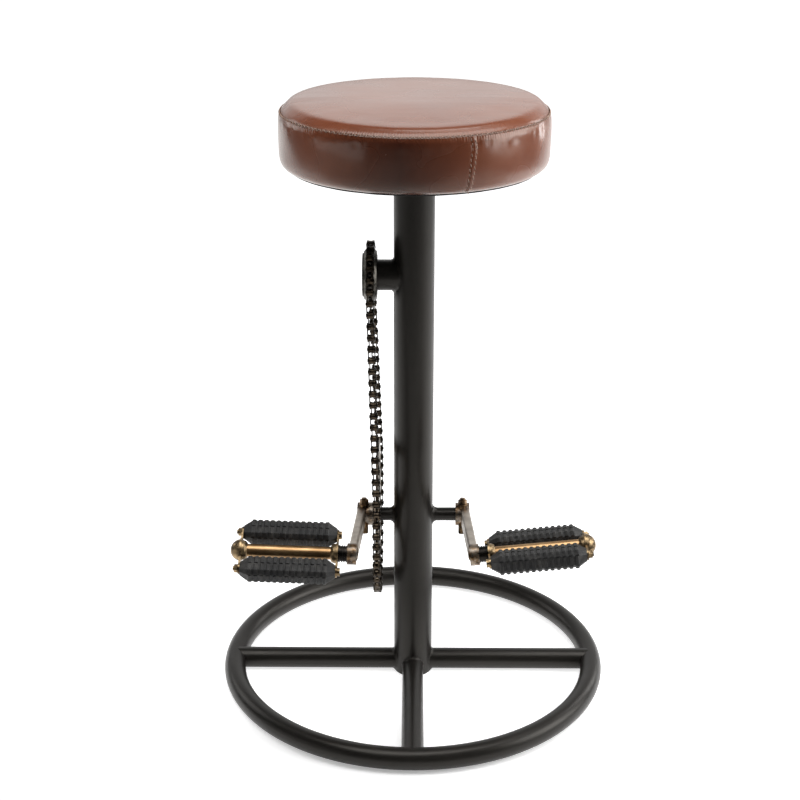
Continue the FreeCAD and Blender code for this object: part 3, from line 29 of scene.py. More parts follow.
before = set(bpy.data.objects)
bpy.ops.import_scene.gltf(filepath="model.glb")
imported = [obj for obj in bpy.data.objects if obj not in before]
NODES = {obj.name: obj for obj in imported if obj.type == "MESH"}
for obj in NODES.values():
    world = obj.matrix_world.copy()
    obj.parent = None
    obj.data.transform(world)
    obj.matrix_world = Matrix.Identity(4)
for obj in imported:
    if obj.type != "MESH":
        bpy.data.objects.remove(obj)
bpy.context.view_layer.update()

# Seat
SEAM_RADIUS = 0.1457
SHOULDER_RADIUS = 0.1374
SEAM_HEIGHT = 0.692
SIDE_SEAM_TURN = math.radians(21.2)
SIDE_SEAM_LEAN = math.radians(2.8)
SIDE_STITCH = 0.0052
SIDE_STITCH_RADIUS = 0.147
LEATHER_THICK = 0.0015
SEAT_FLOOR = 0.632
TURN_IN_RADIUS = 0.116
FRONT_SAG = 0.0042
SEAT_STEPS = 600
EDGE_STITCHES = 300

# Cloth simulation: how far the leather follows it, the most a point may move, and its frames
PULL_SHARE = 0.1
PULL_CAP = 0.004
CLOTH_FRAMES = 20

# Camera of the photograph
CAMERA_PLACE = (0, -1.7221, 1.0278)
CAMERA_HEADING = (-0.008568, 0.931308, -0.364131)
CAMERA_LENS = 71.83

# Lamps: name, place, size and power in watts, all turned to the middle of the stool
LAMP_AIM = (0, 0, 0.6)
LAMPS = (
    ("right_softbox", (1.94, -0.24, 1.05), (1.65, 1.3), 36),
    ("right_rear_softbox", (1.5, 1.17, 1.0), (0.3, 1.4), 8),
    ("left_rear_softbox", (-1.72, 0.92, 1.1), (0.93, 1.0), 6.5),
    ("left_front_softbox", (-1.75, -0.85, 0.42), (1.6, 0.25), 1.5),
    ("back_softbox", (0.0, 3.2, 2.1), (5.0, 2.2), 15),
    ("top_softbox", (0.06, -0.2, 1.75), (2.0, 1.1), 27),
)


class Finish:
    """A node-built surface finish."""

    def __init__(self, name, colour, roughness=0.5, **sockets):
        self.material = bpy.data.materials.new(name)
        self.material.use_nodes = True
        self.tree = self.material.node_tree
        self.shader = self.tree.nodes["Principled BSDF"]
        self.set_socket(self.shader.inputs["Base Color"], colour)
        self.set_socket(self.shader.inputs["Roughness"], roughness)
        for label, value in sockets.items():
            self.set_socket(self.shader.inputs[label.replace("_", " ")], value)
        self.place = self.add("ShaderNodeTexCoord").outputs["Object"]
        self.bumped = None

    def set_socket(self, socket, value):
        if isinstance(value, bpy.types.NodeSocket):
            self.tree.links.new(value, socket)
        elif socket.type == "RGBA":
            socket.default_value = (*value, 1)
        else:
            socket.default_value = value

    def add(self, kind, settings=None, **sockets):
        """One node, with its settings and sockets by name."""
        node = self.tree.nodes.new(kind)
        for label, value in (settings or {}).items():
            setattr(node, label, value)
        for label, value in sockets.items():
            self.set_socket(node.inputs[label.replace("_", " ")], value)
        return node

    def math(self, operation, *values):
        node = self.tree.nodes.new("ShaderNodeMath")
        node.operation = operation
        for socket, value in zip(node.inputs, values):
            self.set_socket(socket, value)
        return node.outputs[0]

    def noise(self, scale, detail=4, roughness=0.55, stretch=(1, 1, 1), distortion=0):
        """Cloudy variation, with its size set by scale, in features per metre."""
        where = self.add("ShaderNodeMapping", Vector=self.place, Scale=stretch).outputs[0]
        return self.add("ShaderNodeTexNoise", Vector=where, Scale=scale, Detail=detail,
                        Roughness=roughness, Distortion=distortion).outputs["Fac"]

    def cells(self, scale):
        """Cell pattern, such as leather grain."""
        return self.add("ShaderNodeTexVoronoi", Vector=self.place, Scale=scale).outputs["Distance"]

    def ramp(self, value, *stops):
        """A grey ramp from (position, grey) stops."""
        node = self.add("ShaderNodeValToRGB", Fac=value)
        node.color_ramp.interpolation = "EASE"
        elements = node.color_ramp.elements
        while len(elements) < len(stops):
            elements.new(0.5)
        for element, (position, colour) in zip(elements, stops):
            element.position = position
            element.color = (colour, colour, colour, 1)
        return node.outputs["Color"]

    def mix(self, share, first, second):
        node = self.add("ShaderNodeMix", {"data_type": "RGBA"})
        self.set_socket(node.inputs[0], share)
        self.set_socket(node.inputs[6], first)
        self.set_socket(node.inputs[7], second)
        return node.outputs[2]

    def colour(self, value):
        self.set_socket(self.shader.inputs["Base Color"], value)

    def roughness(self, value, low, high):
        spread = self.add("ShaderNodeMapRange", Value=value, To_Min=low, To_Max=high)
        self.set_socket(self.shader.inputs["Roughness"], spread.outputs[0])

    def bump(self, height, depth, strength=1.0):
        """Relief of a depth in metres, laid over any relief already there."""
        node = self.add("ShaderNodeBump", Height=height, Distance=depth, Strength=strength)
        if self.bumped:
            self.set_socket(node.inputs["Normal"], self.bumped)
        self.bumped = node.outputs[0]
        self.set_socket(self.shader.inputs["Normal"], self.bumped)


def frame_paint(name="frame_paint", bead=0.0):
    """Satin black stove paint with a faint orange peel; bead is the relief of a weld, in metres."""
    finish = Finish(name, (0.0115, 0.0104, 0.0094), 0.36, Specular_IOR_Level=0.33,
                    Specular_Tint=(1.0, 0.95, 0.88))
    cloud = finish.noise(9, 5)
    finish.colour(finish.mix(cloud, (0.0078, 0.007, 0.0062), (0.015, 0.0134, 0.0118)))
    finish.roughness(finish.noise(35, 6, 0.65), 0.24, 0.46)
    finish.bump(finish.noise(420, 3), 0.00006)
    if bead:
        finish.bump(finish.noise(260, 4, 0.6), bead)
    return finish.material


def seat_leather():
    """Glossy red-brown leather: a smooth pulled hide with fine grain, faint streaks and gathers, with
    painted shade on the front of the side band.
    """
    finish = Finish("seat_leather", (0.15, 0.042, 0.019), 0.28, Coat_Weight=0.4, Coat_Roughness=0.13,
                    Coat_Tint=(1.0, 0.97, 0.91), Specular_IOR_Level=0.45,
                    Specular_Tint=(1.0, 0.95, 0.86))
    where = finish.add("ShaderNodeSeparateXYZ", Vector=finish.place).outputs
    x, y, z = where["X"], where["Y"], where["Z"]
    turn = finish.math("ARCTAN2", x, finish.math("MULTIPLY", y, -1.0))
    below = finish.math("SUBTRACT", SEAM_HEIGHT, z)

    def near(value, middle, width):
        """1 at the middle, falling to 0 a width away."""
        apart = finish.math("ABSOLUTE", finish.math("SUBTRACT", value, middle))
        far = finish.math("DIVIDE", apart, width)
        return finish.math("MAXIMUM", finish.math("SUBTRACT", 1.0, far), 0.0)

    tone = finish.noise(8, 3, 0.5)
    base = finish.mix(finish.ramp(tone, (0.25, 0.0), (0.75, 1.0)),
                      (0.12, 0.031, 0.0135), (0.18, 0.052, 0.0225))
    streaks = finish.ramp(finish.noise(30, 3, 0.5, stretch=(0.35, 1.6, 1.6)), (0.35, 0.0), (0.85, 1.0))
    base = finish.mix(finish.math("MULTIPLY", streaks, 0.25), base, (0.085, 0.02, 0.0095))
    side = finish.add("ShaderNodeMapRange", Value=below, From_Min=-0.002, From_Max=0.006).outputs[0]
    # Painted shade: the front of the side band, below the edge seam, is darkened towards a deep brown.
    painted_front_shade = finish.math("MULTIPLY", near(turn, -0.1, 0.75), side)
    base = finish.mix(finish.math("MULTIPLY", painted_front_shade, 0.85), base, (0.026, 0.0065, 0.0036))
    seam = near(below, 0.0, 0.0011)
    base = finish.mix(finish.math("MULTIPLY", seam, 0.6), base, (0.03, 0.01, 0.006))
    finish.colour(base)
    finish.roughness(finish.noise(16, 2, 0.5), 0.2, 0.34)

    gathers = finish.math("SINE", finish.math("MULTIPLY_ADD", turn, 300.0, finish.math(
        "MULTIPLY", finish.noise(60, 3), 9.0)))
    reach = finish.math("MULTIPLY", near(below, 0.0005, 0.008), near(below, 0.0005, 0.008))
    finish.bump(finish.math("MULTIPLY", gathers, reach), 0.00016)
    long_gathers = finish.noise(170, 3, 0.5, stretch=(1, 1, 0.15))
    finish.bump(finish.math("MULTIPLY", long_gathers, near(below, 0.004, 0.014)), 0.0005)
    creases = finish.noise(19, 2, 0.45, stretch=(1.0, 1.0, 0.7), distortion=0.4)
    finish.bump(finish.math("MULTIPLY", creases, side), 0.0012)
    finish.bump(finish.noise(34, 2, 0.45, stretch=(0.4, 1.6, 1.0)), 0.00022)
    finish.bump(finish.cells(900), 0.00002)
    return finish.material


def aged_metal(name, dark, bright, low, high, scale):
    """Metal with a patina that clouds between a dark and a bright tone; low to high is its roughness."""
    finish = Finish(name, bright, 0.35, Metallic=1.0)
    cloud = finish.ramp(finish.noise(scale, 6, 0.65), (0.36, 0.0), (0.64, 1.0))
    finish.colour(finish.mix(cloud, dark, bright))
    finish.roughness(finish.noise(scale * 2.3, 5), low, high)
    finish.bump(finish.noise(scale * 9, 4), 0.00005)
    return finish.material


def pedal_tube_metal():
    """Orange-gold lacquered tube, softly bright, with faint tarnish."""
    finish = Finish("tube_brass", (0.66, 0.4, 0.17), 0.38, Metallic=1.0)
    tarnish = finish.ramp(finish.noise(90, 5, 0.6, stretch=(0.4, 1, 1)), (0.3, 0.0), (0.75, 1.0))
    finish.colour(finish.mix(tarnish, (0.33, 0.19, 0.085), (0.58, 0.375, 0.19)))
    finish.roughness(finish.noise(140, 5), 0.3, 0.44)
    finish.bump(finish.noise(800, 4), 0.00004)
    return finish.material


def crank_metal():
    """Brushed grey-brown arms, with bronze staining at the boss and the eye."""
    finish = Finish("crank_metal", (0.2, 0.17, 0.145), 0.4, Metallic=1.0)
    along = finish.add("ShaderNodeSeparateXYZ", Vector=finish.place).outputs["Y"]
    boss = finish.add("ShaderNodeMapRange", Value=along, From_Min=-0.034, From_Max=-0.008).outputs[0]
    eye = finish.add("ShaderNodeMapRange", Value=along, From_Min=-0.146, From_Max=-0.156).outputs[0]
    stain = finish.math("MULTIPLY", finish.math("MAXIMUM", boss, eye),
                        finish.ramp(finish.noise(120, 6, 0.7), (0.36, 0.35), (0.6, 1.0)))
    clean = finish.mix(finish.ramp(finish.noise(48, 6, 0.6), (0.35, 0.0), (0.65, 1.0)),
                       (0.3, 0.26, 0.215), (0.46, 0.41, 0.35))
    bronze = finish.mix(finish.ramp(finish.noise(190, 4), (0.4, 0.0), (0.6, 1.0)),
                        (0.036, 0.023, 0.015), (0.21, 0.125, 0.06))
    finish.colour(finish.mix(stain, clean, bronze))
    brushed = finish.noise(60, 5, 0.6, stretch=(9, 0.6, 9))
    finish.roughness(brushed, 0.3, 0.5)
    finish.bump(finish.noise(700, 4), 0.00005)
    return finish.material


def pedal_rubber():
    """Moulded black rubber, dull, with a fine tooth and a little dust."""
    finish = Finish("pedal_rubber", (0.012, 0.012, 0.012), 0.5, Specular_IOR_Level=0.4)
    dust = finish.ramp(finish.noise(70, 7, 0.7), (0.42, 0.0), (0.7, 1.0))
    finish.colour(finish.mix(dust, (0.009, 0.0088, 0.0085), (0.042, 0.0395, 0.0365)))
    finish.roughness(finish.noise(150, 5), 0.38, 0.7)
    finish.bump(finish.noise(900, 4), 0.00018)
    return finish.material


def woven_cloth():
    """Black spun cloth under the seat."""
    finish = Finish("dust_cloth", (0.01, 0.01, 0.01), 0.9)
    weave = finish.cells(1400)
    finish.colour(finish.mix(weave, (0.006, 0.006, 0.006), (0.02, 0.02, 0.02)))
    finish.bump(weave, 0.0002)
    finish.bump(finish.noise(30, 4), 0.0006)
    return finish.material


def plywood():
    """Seat board with its layers at the edge."""
    finish = Finish("board_plywood", (0.5, 0.33, 0.18), 0.6)
    layers = finish.math("SINE", finish.math("MULTIPLY", finish.add(
        "ShaderNodeSeparateXYZ", Vector=finish.place).outputs["Z"], 2600.0))
    grain = finish.noise(40, 5, 0.6, stretch=(1, 12, 1))
    finish.colour(finish.mix(finish.math("MULTIPLY", grain, 0.8),
                             finish.mix(layers, (0.5, 0.34, 0.19), (0.32, 0.19, 0.1)),
                             (0.28, 0.16, 0.08)))
    return finish.material


def thread():
    """Pale brown sewing thread."""
    finish = Finish("seam_thread", (0.25, 0.14, 0.1), 0.5)
    finish.colour(finish.mix(finish.noise(500, 3), (0.21, 0.115, 0.08), (0.43, 0.3, 0.23)))
    finish.bump(finish.noise(2500, 2), 0.0001)
    return finish.material


def open_foam():
    """Open-celled seat foam."""
    finish = Finish("seat_foam", (0.7, 0.62, 0.42), 0.95)
    pores = finish.cells(1100)
    finish.colour(finish.mix(pores, (0.5, 0.43, 0.28), (0.75, 0.68, 0.48)))
    finish.bump(pores, 0.0004)
    return finish.material


PAINT = frame_paint()
BEAD = frame_paint("weld_bead_paint", bead=0.0007)
LEATHER = seat_leather()
CRANK = crank_metal()
BRASS = aged_metal("aged_brass", (0.06, 0.042, 0.025), (0.42, 0.3, 0.165), 0.28, 0.46, 130)
TUBE = pedal_tube_metal()
BRONZE = aged_metal("dark_bronze", (0.045, 0.03, 0.019), (0.28, 0.18, 0.095), 0.3, 0.52, 150)
CHAIN = aged_metal("dark_chain", (0.0105, 0.0095, 0.0082), (0.058, 0.047, 0.036), 0.28, 0.52, 160)
SPROCKET = aged_metal("freewheel_steel", (0.032, 0.0305, 0.027), (0.13, 0.121, 0.106), 0.3, 0.5, 130)
CHAIN_PIN = aged_metal("chain_side", (0.016, 0.013, 0.011), (0.13, 0.1, 0.07), 0.25, 0.48, 160)
RING = aged_metal("chainring_metal", (0.07, 0.055, 0.04), (0.3, 0.24, 0.17), 0.25, 0.42, 70)
BLACK_STEEL = aged_metal("blackened_steel", (0.012, 0.011, 0.01), (0.035, 0.03, 0.026), 0.28, 0.5, 120)
ZINC = aged_metal("zinc_steel", (0.35, 0.34, 0.31), (0.62, 0.61, 0.58), 0.25, 0.4, 120)
POLISHED = aged_metal("ball_steel", (0.5, 0.5, 0.5), (0.75, 0.75, 0.75), 0.08, 0.16, 200)
RUBBER = pedal_rubber()
CLOTH = woven_cloth()
PLYWOOD = plywood()
THREAD = thread()
FOAM = open_foam()

PEDAL_BRASS = ("centre_tube", "inner_plate", "outer_plate", "bearing_cups", "rods", "rod_nuts", "dust_cap")
FINISHES = {
    "base_ring": PAINT, "base_spoke_front": PAINT, "base_spoke_rear": PAINT, "base_spoke_left": PAINT,
    "base_spoke_right": PAINT, "column_tube": PAINT, "seat_mount_plate": PAINT, "crank_spindle": PAINT,
    "freewheel_stub": PAINT, "base_weld_beads": BEAD, "seat_plate_weld_bead": BEAD,
    "spindle_weld_beads": BEAD, "stub_weld_bead": BEAD,
    "seat_board": PLYWOOD, "seat_foam": FOAM, "leather_top_panel": LEATHER, "leather_side_band": LEATHER,
    "dust_cover": CLOTH, "seat_bolts": ZINC, "seat_bolt_washers": ZINC, "seat_tee_nuts": ZINC,
    "seat_staples": ZINC, "left_crank": CRANK, "right_crank": CRANK, "cotter_pins": BRONZE,
    "cotter_washers": BRONZE, "cotter_nuts": BRONZE, "chainring": RING, "chain_outer_links": CHAIN,
    "chain_inner_links": CHAIN_PIN, "chain_rollers": CHAIN_PIN, "freewheel_sprocket": SPROCKET,
    "freewheel_core": BLACK_STEEL, "freewheel_lock_ring": BLACK_STEEL, "freewheel_pawls": POLISHED,
    "freewheel_balls": POLISHED, "left_pedal_spindle": BLACK_STEEL, "right_pedal_spindle": BLACK_STEEL,
    "pedal_outer_cones": POLISHED, "pedal_cone_washers": POLISHED, "pedal_cone_locknuts": POLISHED,
}
for side in ("left", "right"):
    FINISHES[side + "_pedal_rubbers"] = RUBBER
    FINISHES[side + "_pedal_balls"] = POLISHED
    for part in PEDAL_BRASS:
        FINISHES[side + "_pedal_" + part] = TUBE if part == "centre_tube" else BRASS
assert set(FINISHES) == set(NODES), set(FINISHES) ^ set(NODES)
for name, finish in FINISHES.items():
    mesh = NODES[name].data
    mesh.materials.clear()
    mesh.materials.append(finish)


def new_piece(name, mesh, finish):
    """Link a mesh with its finish as a piece that rides on the stool."""
    piece = bpy.data.objects.new(name, mesh)
    bpy.context.scene.collection.objects.link(piece)
    mesh.materials.append(finish)
    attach(piece, "stool")
    return piece


def mesh_of(name, shape):
    """A smooth mesh from a bmesh, which is used up."""
    mesh = bpy.data.meshes.new(name)
    shape.to_mesh(mesh)
    shape.free()
    mesh.shade_smooth()
    return mesh


def spun(points, steps, closed_ring=False):
    """Spin a half section of (radius, height) points round the seat's axis."""
    shape = bmesh.new()
    verts = [shape.verts.new((radius, 0, height)) for radius, height in points]
    edges = [shape.edges.new(pair) for pair in zip(verts, verts[1:])]
    if closed_ring:
        edges.append(shape.edges.new((verts[-1], verts[0])))
    bmesh.ops.spin(shape, geom=verts + edges, cent=(0, 0, 0), axis=(0, 0, 1), angle=math.tau,
                   steps=steps, use_merge=True)
    bmesh.ops.remove_doubles(shape, verts=shape.verts, dist=1e-6)
    bmesh.ops.recalc_face_normals(shape, faces=shape.faces)
    return shape


def smooth_path(points, count):
    """Evenly spaced points on a smooth curve through the given (radius, height) points."""
    dense = []
    for index in range(len(points) - 1):
        before = Vector(points[max(index - 1, 0)])
        start, end = Vector(points[index]), Vector(points[index + 1])
        after = Vector(points[min(index + 2, len(points) - 1)])
        for step in range(20):
            share = step / 20
            dense.append(0.5 * ((2 * start) + (end - before) * share
                                + (2 * before - 5 * start + 4 * end - after) * share ** 2
                                + (3 * start - before - 3 * end + after) * share ** 3))
    dense.append(Vector(points[-1]))
    lengths = [0.0]
    for first, second in zip(dense, dense[1:]):
        lengths.append(lengths[-1] + (second - first).length)
    result, index = [], 0
    for step in range(count + 1):
        goal = lengths[-1] * step / count
        while index < len(dense) - 2 and lengths[index + 1] < goal:
            index += 1
        span = lengths[index + 1] - lengths[index] or 1
        result.append(tuple(dense[index].lerp(dense[index + 1], (goal - lengths[index]) / span)))
    return result


TOP_PATH = [(0.0, 0.706), (0.05, 0.7058), (0.09, 0.7053), (0.12, 0.7046), (0.131, 0.7039),
            (0.135, 0.7029), (SHOULDER_RADIUS, 0.7012), (0.1415, 0.6971), (SEAM_RADIUS, SEAM_HEIGHT)]
SIDE_PATH = [(SEAM_RADIUS, SEAM_HEIGHT), (0.1470, 0.686), (0.1478, 0.676), (0.1480, 0.664),
             (0.1476, 0.651), (0.1467, 0.6425), (0.1449, 0.6372), (0.1412, 0.6338),
             (0.1365, 0.6323), (0.129, SEAT_FLOOR)]
UNDER_PATH = [(TURN_IN_RADIUS, SEAT_FLOOR), (TURN_IN_RADIUS, SEAT_FLOOR + LEATHER_THICK),
              (0.0, SEAT_FLOOR + LEATHER_THICK)]


def stuffed_form():
    """The stuffed drum, blown up by a cloth simulation, as a surface to fit the leather to.
"""
    slim = 0.0012
    points = [(max(radius - slim, 0), height - slim / 2) for radius, height in TOP_PATH + SIDE_PATH[1:]]
    points += UNDER_PATH
    start = bpy.data.objects.new("stuffing", mesh_of("stuffing", spun(points, 96)))
    bpy.context.scene.collection.objects.link(start)
    remesh = start.modifiers.new("even", "REMESH")
    remesh.mode, remesh.voxel_size = "VOXEL", 0.005
    depsgraph = bpy.context.evaluated_depsgraph_get()
    even = bpy.data.meshes.new_from_object(start.evaluated_get(depsgraph))
    bpy.data.objects.remove(start)
    drum = bpy.data.objects.new("stuffed_drum", even)
    bpy.context.scene.collection.objects.link(drum)
    held = drum.vertex_groups.new(name="held")
    for vertex in even.vertices:
        radius = math.hypot(vertex.co.x, vertex.co.y)
        near_seam = math.hypot(radius - SEAM_RADIUS, vertex.co.z - SEAM_HEIGHT) < 0.006
        if near_seam or vertex.co.z < SEAT_FLOOR + 0.004:
            held.add([vertex.index], 1.0, "REPLACE")
    cloth = drum.modifiers.new("leather_pull", "CLOTH")
    settings = cloth.settings
    settings.quality = 6
    settings.mass = 0.4
    settings.tension_stiffness = settings.compression_stiffness = 60
    settings.bending_stiffness = 6
    settings.use_pressure = True
    settings.uniform_pressure_force = 4
    settings.vertex_group_mass = "held"
    settings.effector_weights.gravity = 0
    cloth.point_cache.frame_start, cloth.point_cache.frame_end = 1, CLOTH_FRAMES
    scene = bpy.context.scene
    for step in range(1, CLOTH_FRAMES + 1):
        scene.frame_set(step)
    depsgraph = bpy.context.evaluated_depsgraph_get()
    blown = bpy.data.meshes.new_from_object(drum.evaluated_get(depsgraph))
    scene.frame_set(1)
    bpy.data.objects.remove(drum)
    return blown


def fit_to_stuffing(shape, blown):
    """Move every point of the leather part of the way to the blown-up form, with the way capped."""
    if blown is None:
        return
    tree = BVHTree.FromPolygons([vertex.co for vertex in blown.vertices],
                                [polygon.vertices for polygon in blown.polygons])
    for vertex in shape.verts:
        radius = math.hypot(vertex.co.x, vertex.co.y)
        if vertex.co.z < SEAT_FLOOR + 0.003:
            continue
        target = tree.find_nearest(vertex.co)[0]
        move = target - vertex.co
        from_seam = math.hypot(radius - SEAM_RADIUS, vertex.co.z - SEAM_HEIGHT)
        hold = min(from_seam / 0.012, 1.0)
        low = min((vertex.co.z - SEAT_FLOOR) / 0.02, 1.0)
        if move.length > PULL_CAP:
            move = move * (PULL_CAP / move.length)
        vertex.co += move * (PULL_SHARE * hold * low)


def leather_shape(vertex, on_band):
    """Gathers under the edge seam, slow unevenness in the stuffing, and the top's dip at the front."""
    radius = math.hypot(vertex.co.x, vertex.co.y)
    if radius < 1e-5:
        return
    turn = math.atan2(vertex.co.x, -vertex.co.y)
    outward = Vector((vertex.co.x / radius, vertex.co.y / radius, 0))
    below = SEAM_HEIGHT - vertex.co.z
    slow = noise.noise(Vector((math.cos(turn) * 3.1, math.sin(turn) * 3.1, vertex.co.z * 28))) * 0.0008
    side = min(max(below / 0.01, 0), 1)
    low = min(max((vertex.co.z - SEAT_FLOOR) / 0.01, 0), 1)
    around = Vector((math.cos(turn) * 9, math.sin(turn) * 9, vertex.co.z * 9))
    gather = noise.noise(around * 1.9) * math.exp(-((below - 0.005) / 0.008) ** 2) * 0.0007
    vertex.co += outward * (slow * side + gather * side) * low
    if not on_band and vertex.co.z > SEAM_HEIGHT:
        inner = min(max((radius - 0.03) / 0.1, 0), 1)
        outer = min(max((SEAM_RADIUS - radius) / (SEAM_RADIUS - SHOULDER_RADIUS), 0), 1)
        front = max(0, math.cos(turn))
        vertex.co.z -= FRONT_SAG * front * inner * inner * (3 - 2 * inner) * outer
    if not on_band:
        swell = noise.noise(Vector((vertex.co.x * 9, vertex.co.y * 13, 0.5))) * 0.0005
        vertex.co.z += swell * min(max((SEAM_RADIUS - radius) / 0.03, 0), 1)


def make_seat():
    """The cushion and the side band round it. Gives the band's mesh."""
    blown = stuffed_form()
    top = smooth_path(TOP_PATH, 56)
    side = smooth_path(SIDE_PATH, 40)
    turned_in = [(0.122, SEAT_FLOOR), (TURN_IN_RADIUS, SEAT_FLOOR)]
    skin = 0.0007
    inner_side = [(radius - skin, height) for radius, height in side[1:]]
    inner_floor = [(0.11, SEAT_FLOOR + LEATHER_THICK), (0.0, SEAT_FLOOR + LEATHER_THICK)]
    cushion = spun(top + inner_side + inner_floor, SEAT_STEPS)
    fit_to_stuffing(cushion, blown)
    for vertex in cushion.verts:
        leather_shape(vertex, False)
        radius = math.hypot(vertex.co.x, vertex.co.y)
        groove = math.exp(-(math.hypot(radius - SEAM_RADIUS, vertex.co.z - SEAM_HEIGHT) / 0.001) ** 2)
        if radius > 1e-5:
            shift = 1 - groove * 0.0007 / radius
            vertex.co.x *= shift
            vertex.co.y *= shift
    piece = new_piece("seat_cushion", mesh_of("seat_cushion", cushion), LEATHER)
    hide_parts("leather_top_panel", "seat_foam")

    band = spun(side + turned_in, SEAT_STEPS)
    fit_to_stuffing(band, blown)
    for vertex in band.verts:
        leather_shape(vertex, True)
        seam_lap(vertex)
    band_mesh = mesh_of("seat_band", band)
    piece = new_piece("seat_band", band_mesh, LEATHER)
    wall = piece.modifiers.new("leather_wall", "SOLIDIFY")
    wall.thickness, wall.offset = 0.0006, 1
    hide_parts("leather_side_band")
    return band_mesh


def side_seam_turn(height):
    """Where the side seam runs at a height: it leans, and turns back near the top."""
    share = (height - SEAT_FLOOR) / (SEAM_HEIGHT - SEAT_FLOOR)
    return SIDE_SEAM_TURN + SIDE_SEAM_LEAN * (share - max(share - 0.8, 0) * 2.2)


def seam_lap(vertex):
    """The raised lap of the side seam, with a valley on its left and puckers at the stitches."""
    radius = math.hypot(vertex.co.x, vertex.co.y)
    turn = math.atan2(vertex.co.x, -vertex.co.y) - side_seam_turn(vertex.co.z)
    across = turn * radius
    pucker = 0.5 + 0.5 * math.sin(vertex.co.z * math.tau / SIDE_STITCH)
    lap = math.exp(-((across - 0.0018) / 0.0018) ** 2) * 0.0009
    lap -= math.exp(-(across / 0.0009) ** 2) * (0.0005 + 0.0006 * pucker)
    vertex.co.x *= 1 + lap / radius
    vertex.co.y *= 1 + lap / radius


def stitches(name, places, length, thick, finish):
    """Short threads, each a straight bar, at (place, along, outward) spots."""
    whole = bmesh.new()
    for place, along, outward in places:
        made = bmesh.ops.create_cone(whole, cap_ends=True, segments=6, radius1=thick, radius2=thick,
                                     depth=length)
        across = outward.cross(along).normalized()
        turn = Matrix((across, outward, along)).transposed().to_4x4()
        bmesh.ops.transform(whole, matrix=Matrix.Translation(place) @ turn, verts=made["verts"])
    return new_piece(name, mesh_of(name, whole), finish)


def seat_threads(band_mesh):
    """Crossed stitches round the edge seam, and two rows down the side seam."""
    tree = BVHTree.FromPolygons([vertex.co for vertex in band_mesh.vertices],
                                [polygon.vertices for polygon in band_mesh.polygons])
    edge, side = [], []
    for step in range(EDGE_STITCHES):
        turn = math.tau * step / EDGE_STITCHES
        outward = Vector((math.sin(turn), -math.cos(turn), 0))
        sideways = Vector((math.cos(turn), math.sin(turn), 0))
        lean = 1 if step % 2 else -1
        along = (Vector((0, 0, 1)) * 0.6 + sideways * 0.7 * lean - outward * 0.35).normalized()
        place = outward * (SEAM_RADIUS + 0.0007) + Vector((0, 0, SEAM_HEIGHT))
        edge.append((place, along, outward))
    height = SEAM_HEIGHT - 0.004
    while height > SEAT_FLOOR + 0.004:
        for offset, drop in ((0.0001, 0.0), (0.0042, SIDE_STITCH / 2)):
            at = height - drop
            turn = side_seam_turn(at) + offset / SIDE_STITCH_RADIUS
            outward = Vector((math.sin(turn), -math.cos(turn), 0))
            sideways = Vector((math.cos(turn), math.sin(turn), 0))
            found = tree.ray_cast(outward * 0.2 + Vector((0, 0, at)), -outward)
            if found[0]:
                along = (Vector((0, 0, 1)) - sideways * 0.25).normalized()
                side.append((found[0] + found[1] * 0.0008, along, outward))
        height -= SIDE_STITCH
    stitches("edge_stitches", edge, 0.003, 0.00036, THREAD)
    stitches("side_seam_stitches", side, 0.0034, 0.00042, THREAD)


def cloth_hem():
    """The folded edge of the dust cover, proud of the leather turned in under the board."""
    points = [(0.124, 0.6317), (0.1372, 0.6317), (0.1380, 0.6311), (0.1373, 0.6304), (0.124, 0.6306)]
    hem = spun(points, 180, closed_ring=True)
    for vertex in hem.verts:
        vertex.co.z += noise.noise(vertex.co * 60) * 0.0002
    piece = new_piece("dust_cover_hem", mesh_of("dust_cover_hem", hem), CLOTH)


seat_threads(make_seat())
cloth_hem()


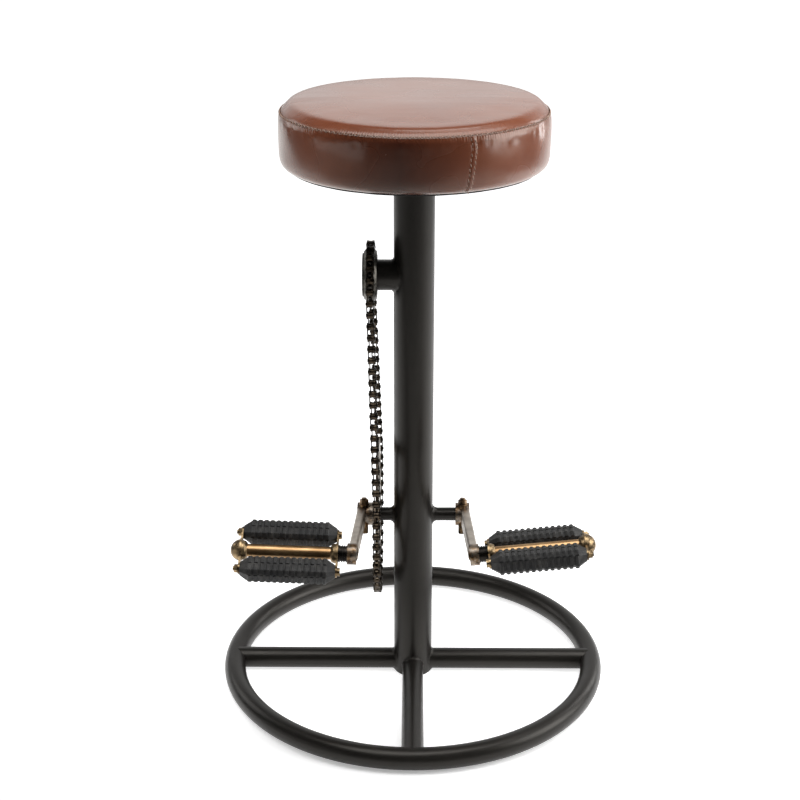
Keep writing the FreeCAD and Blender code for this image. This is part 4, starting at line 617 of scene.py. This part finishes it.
def studio():
    """Pale floor, soft light and the camera of the photograph."""
    scene = bpy.context.scene
    scene.view_settings.view_transform = "Standard"
    floor = bmesh.new()
    bmesh.ops.create_grid(floor, x_segments=1, y_segments=1, size=14)
    mesh = mesh_of("studio_floor", floor)
    plane = bpy.data.objects.new("studio_floor", mesh)
    scene.collection.objects.link(plane)
    pale = Finish("pale_glowing_floor", (0.92, 0.92, 0.92), 0.75, Specular_IOR_Level=0.2)
    pale.colour(pale.mix(pale.noise(0.8, 3), (0.9, 0.9, 0.9), (0.93, 0.93, 0.93)))
    # Painted light: the floor glows, not at all in front of the stool, fading out to the left and right,
    # and brighter further back.
    spot = pale.add("ShaderNodeSeparateXYZ", Vector=pale.place).outputs
    front = pale.add("ShaderNodeMapRange", Value=spot["Y"], From_Min=-0.34, From_Max=-0.1).outputs[0]
    slant = pale.math("MULTIPLY_ADD", spot["Y"], 0.3, spot["X"])
    left = pale.add("ShaderNodeMapRange", Value=slant, From_Min=-2.5, From_Max=-1.6).outputs[0]
    slant = pale.math("MULTIPLY_ADD", spot["Y"], -0.3, spot["X"])
    right = pale.add("ShaderNodeMapRange", Value=slant, From_Min=2.1, From_Max=1.2).outputs[0]
    sides = pale.math("MULTIPLY", left, right)
    far = pale.add("ShaderNodeMapRange", Value=spot["Y"], From_Min=0.5, From_Max=3.0, To_Min=0.72,
                   To_Max=1.0).outputs[0]
    pale.set_socket(pale.shader.inputs["Emission Color"], (1, 1, 1))
    pale.set_socket(pale.shader.inputs["Emission Strength"],
                    pale.math("MULTIPLY", pale.math("MULTIPLY", front, sides), far))
    mesh.materials.append(pale.material)

    world = scene.world or bpy.data.worlds.new("studio")
    scene.world = world
    world.use_nodes = True
    tree = world.node_tree
    tree.nodes.clear()
    place = tree.nodes.new("ShaderNodeTexCoord")
    parts = tree.nodes.new("ShaderNodeSeparateXYZ")
    depth = tree.nodes.new("ShaderNodeMapRange")
    depth.inputs["From Min"].default_value, depth.inputs["From Max"].default_value = 0.65, 0.95
    depth.inputs["To Min"].default_value, depth.inputs["To Max"].default_value = 0.03, 0.8
    light = tree.nodes.new("ShaderNodeBackground")
    output = tree.nodes.new("ShaderNodeOutputWorld")
    tree.links.new(place.outputs["Generated"], parts.inputs[0])
    tree.links.new(parts.outputs["Y"], depth.inputs["Value"])
    tree.links.new(depth.outputs[0], light.inputs["Strength"])
    tree.links.new(light.outputs[0], output.inputs[0])

    for name, place, size, power in LAMPS:
        lamp = bpy.data.lights.new(name, "AREA")
        lamp.shape, lamp.size, lamp.size_y, lamp.energy = "RECTANGLE", *size, power
        holder = bpy.data.objects.new(name, lamp)
        holder.location = place
        holder.rotation_euler = (Vector(LAMP_AIM) - Vector(place)).to_track_quat("-Z", "Y").to_euler()
        holder.visible_camera = False
        scene.collection.objects.link(holder)

    eye = bpy.data.cameras.new("photo_camera")
    eye.sensor_width, eye.lens = 36, CAMERA_LENS
    camera = bpy.data.objects.new("photo_camera", eye)
    scene.collection.objects.link(camera)
    turn = Vector(CAMERA_HEADING).to_track_quat("-Z", "Y").to_matrix().to_4x4()
    camera.matrix_world = Matrix.Translation(CAMERA_PLACE) @ turn
    scene.camera = camera


studio()
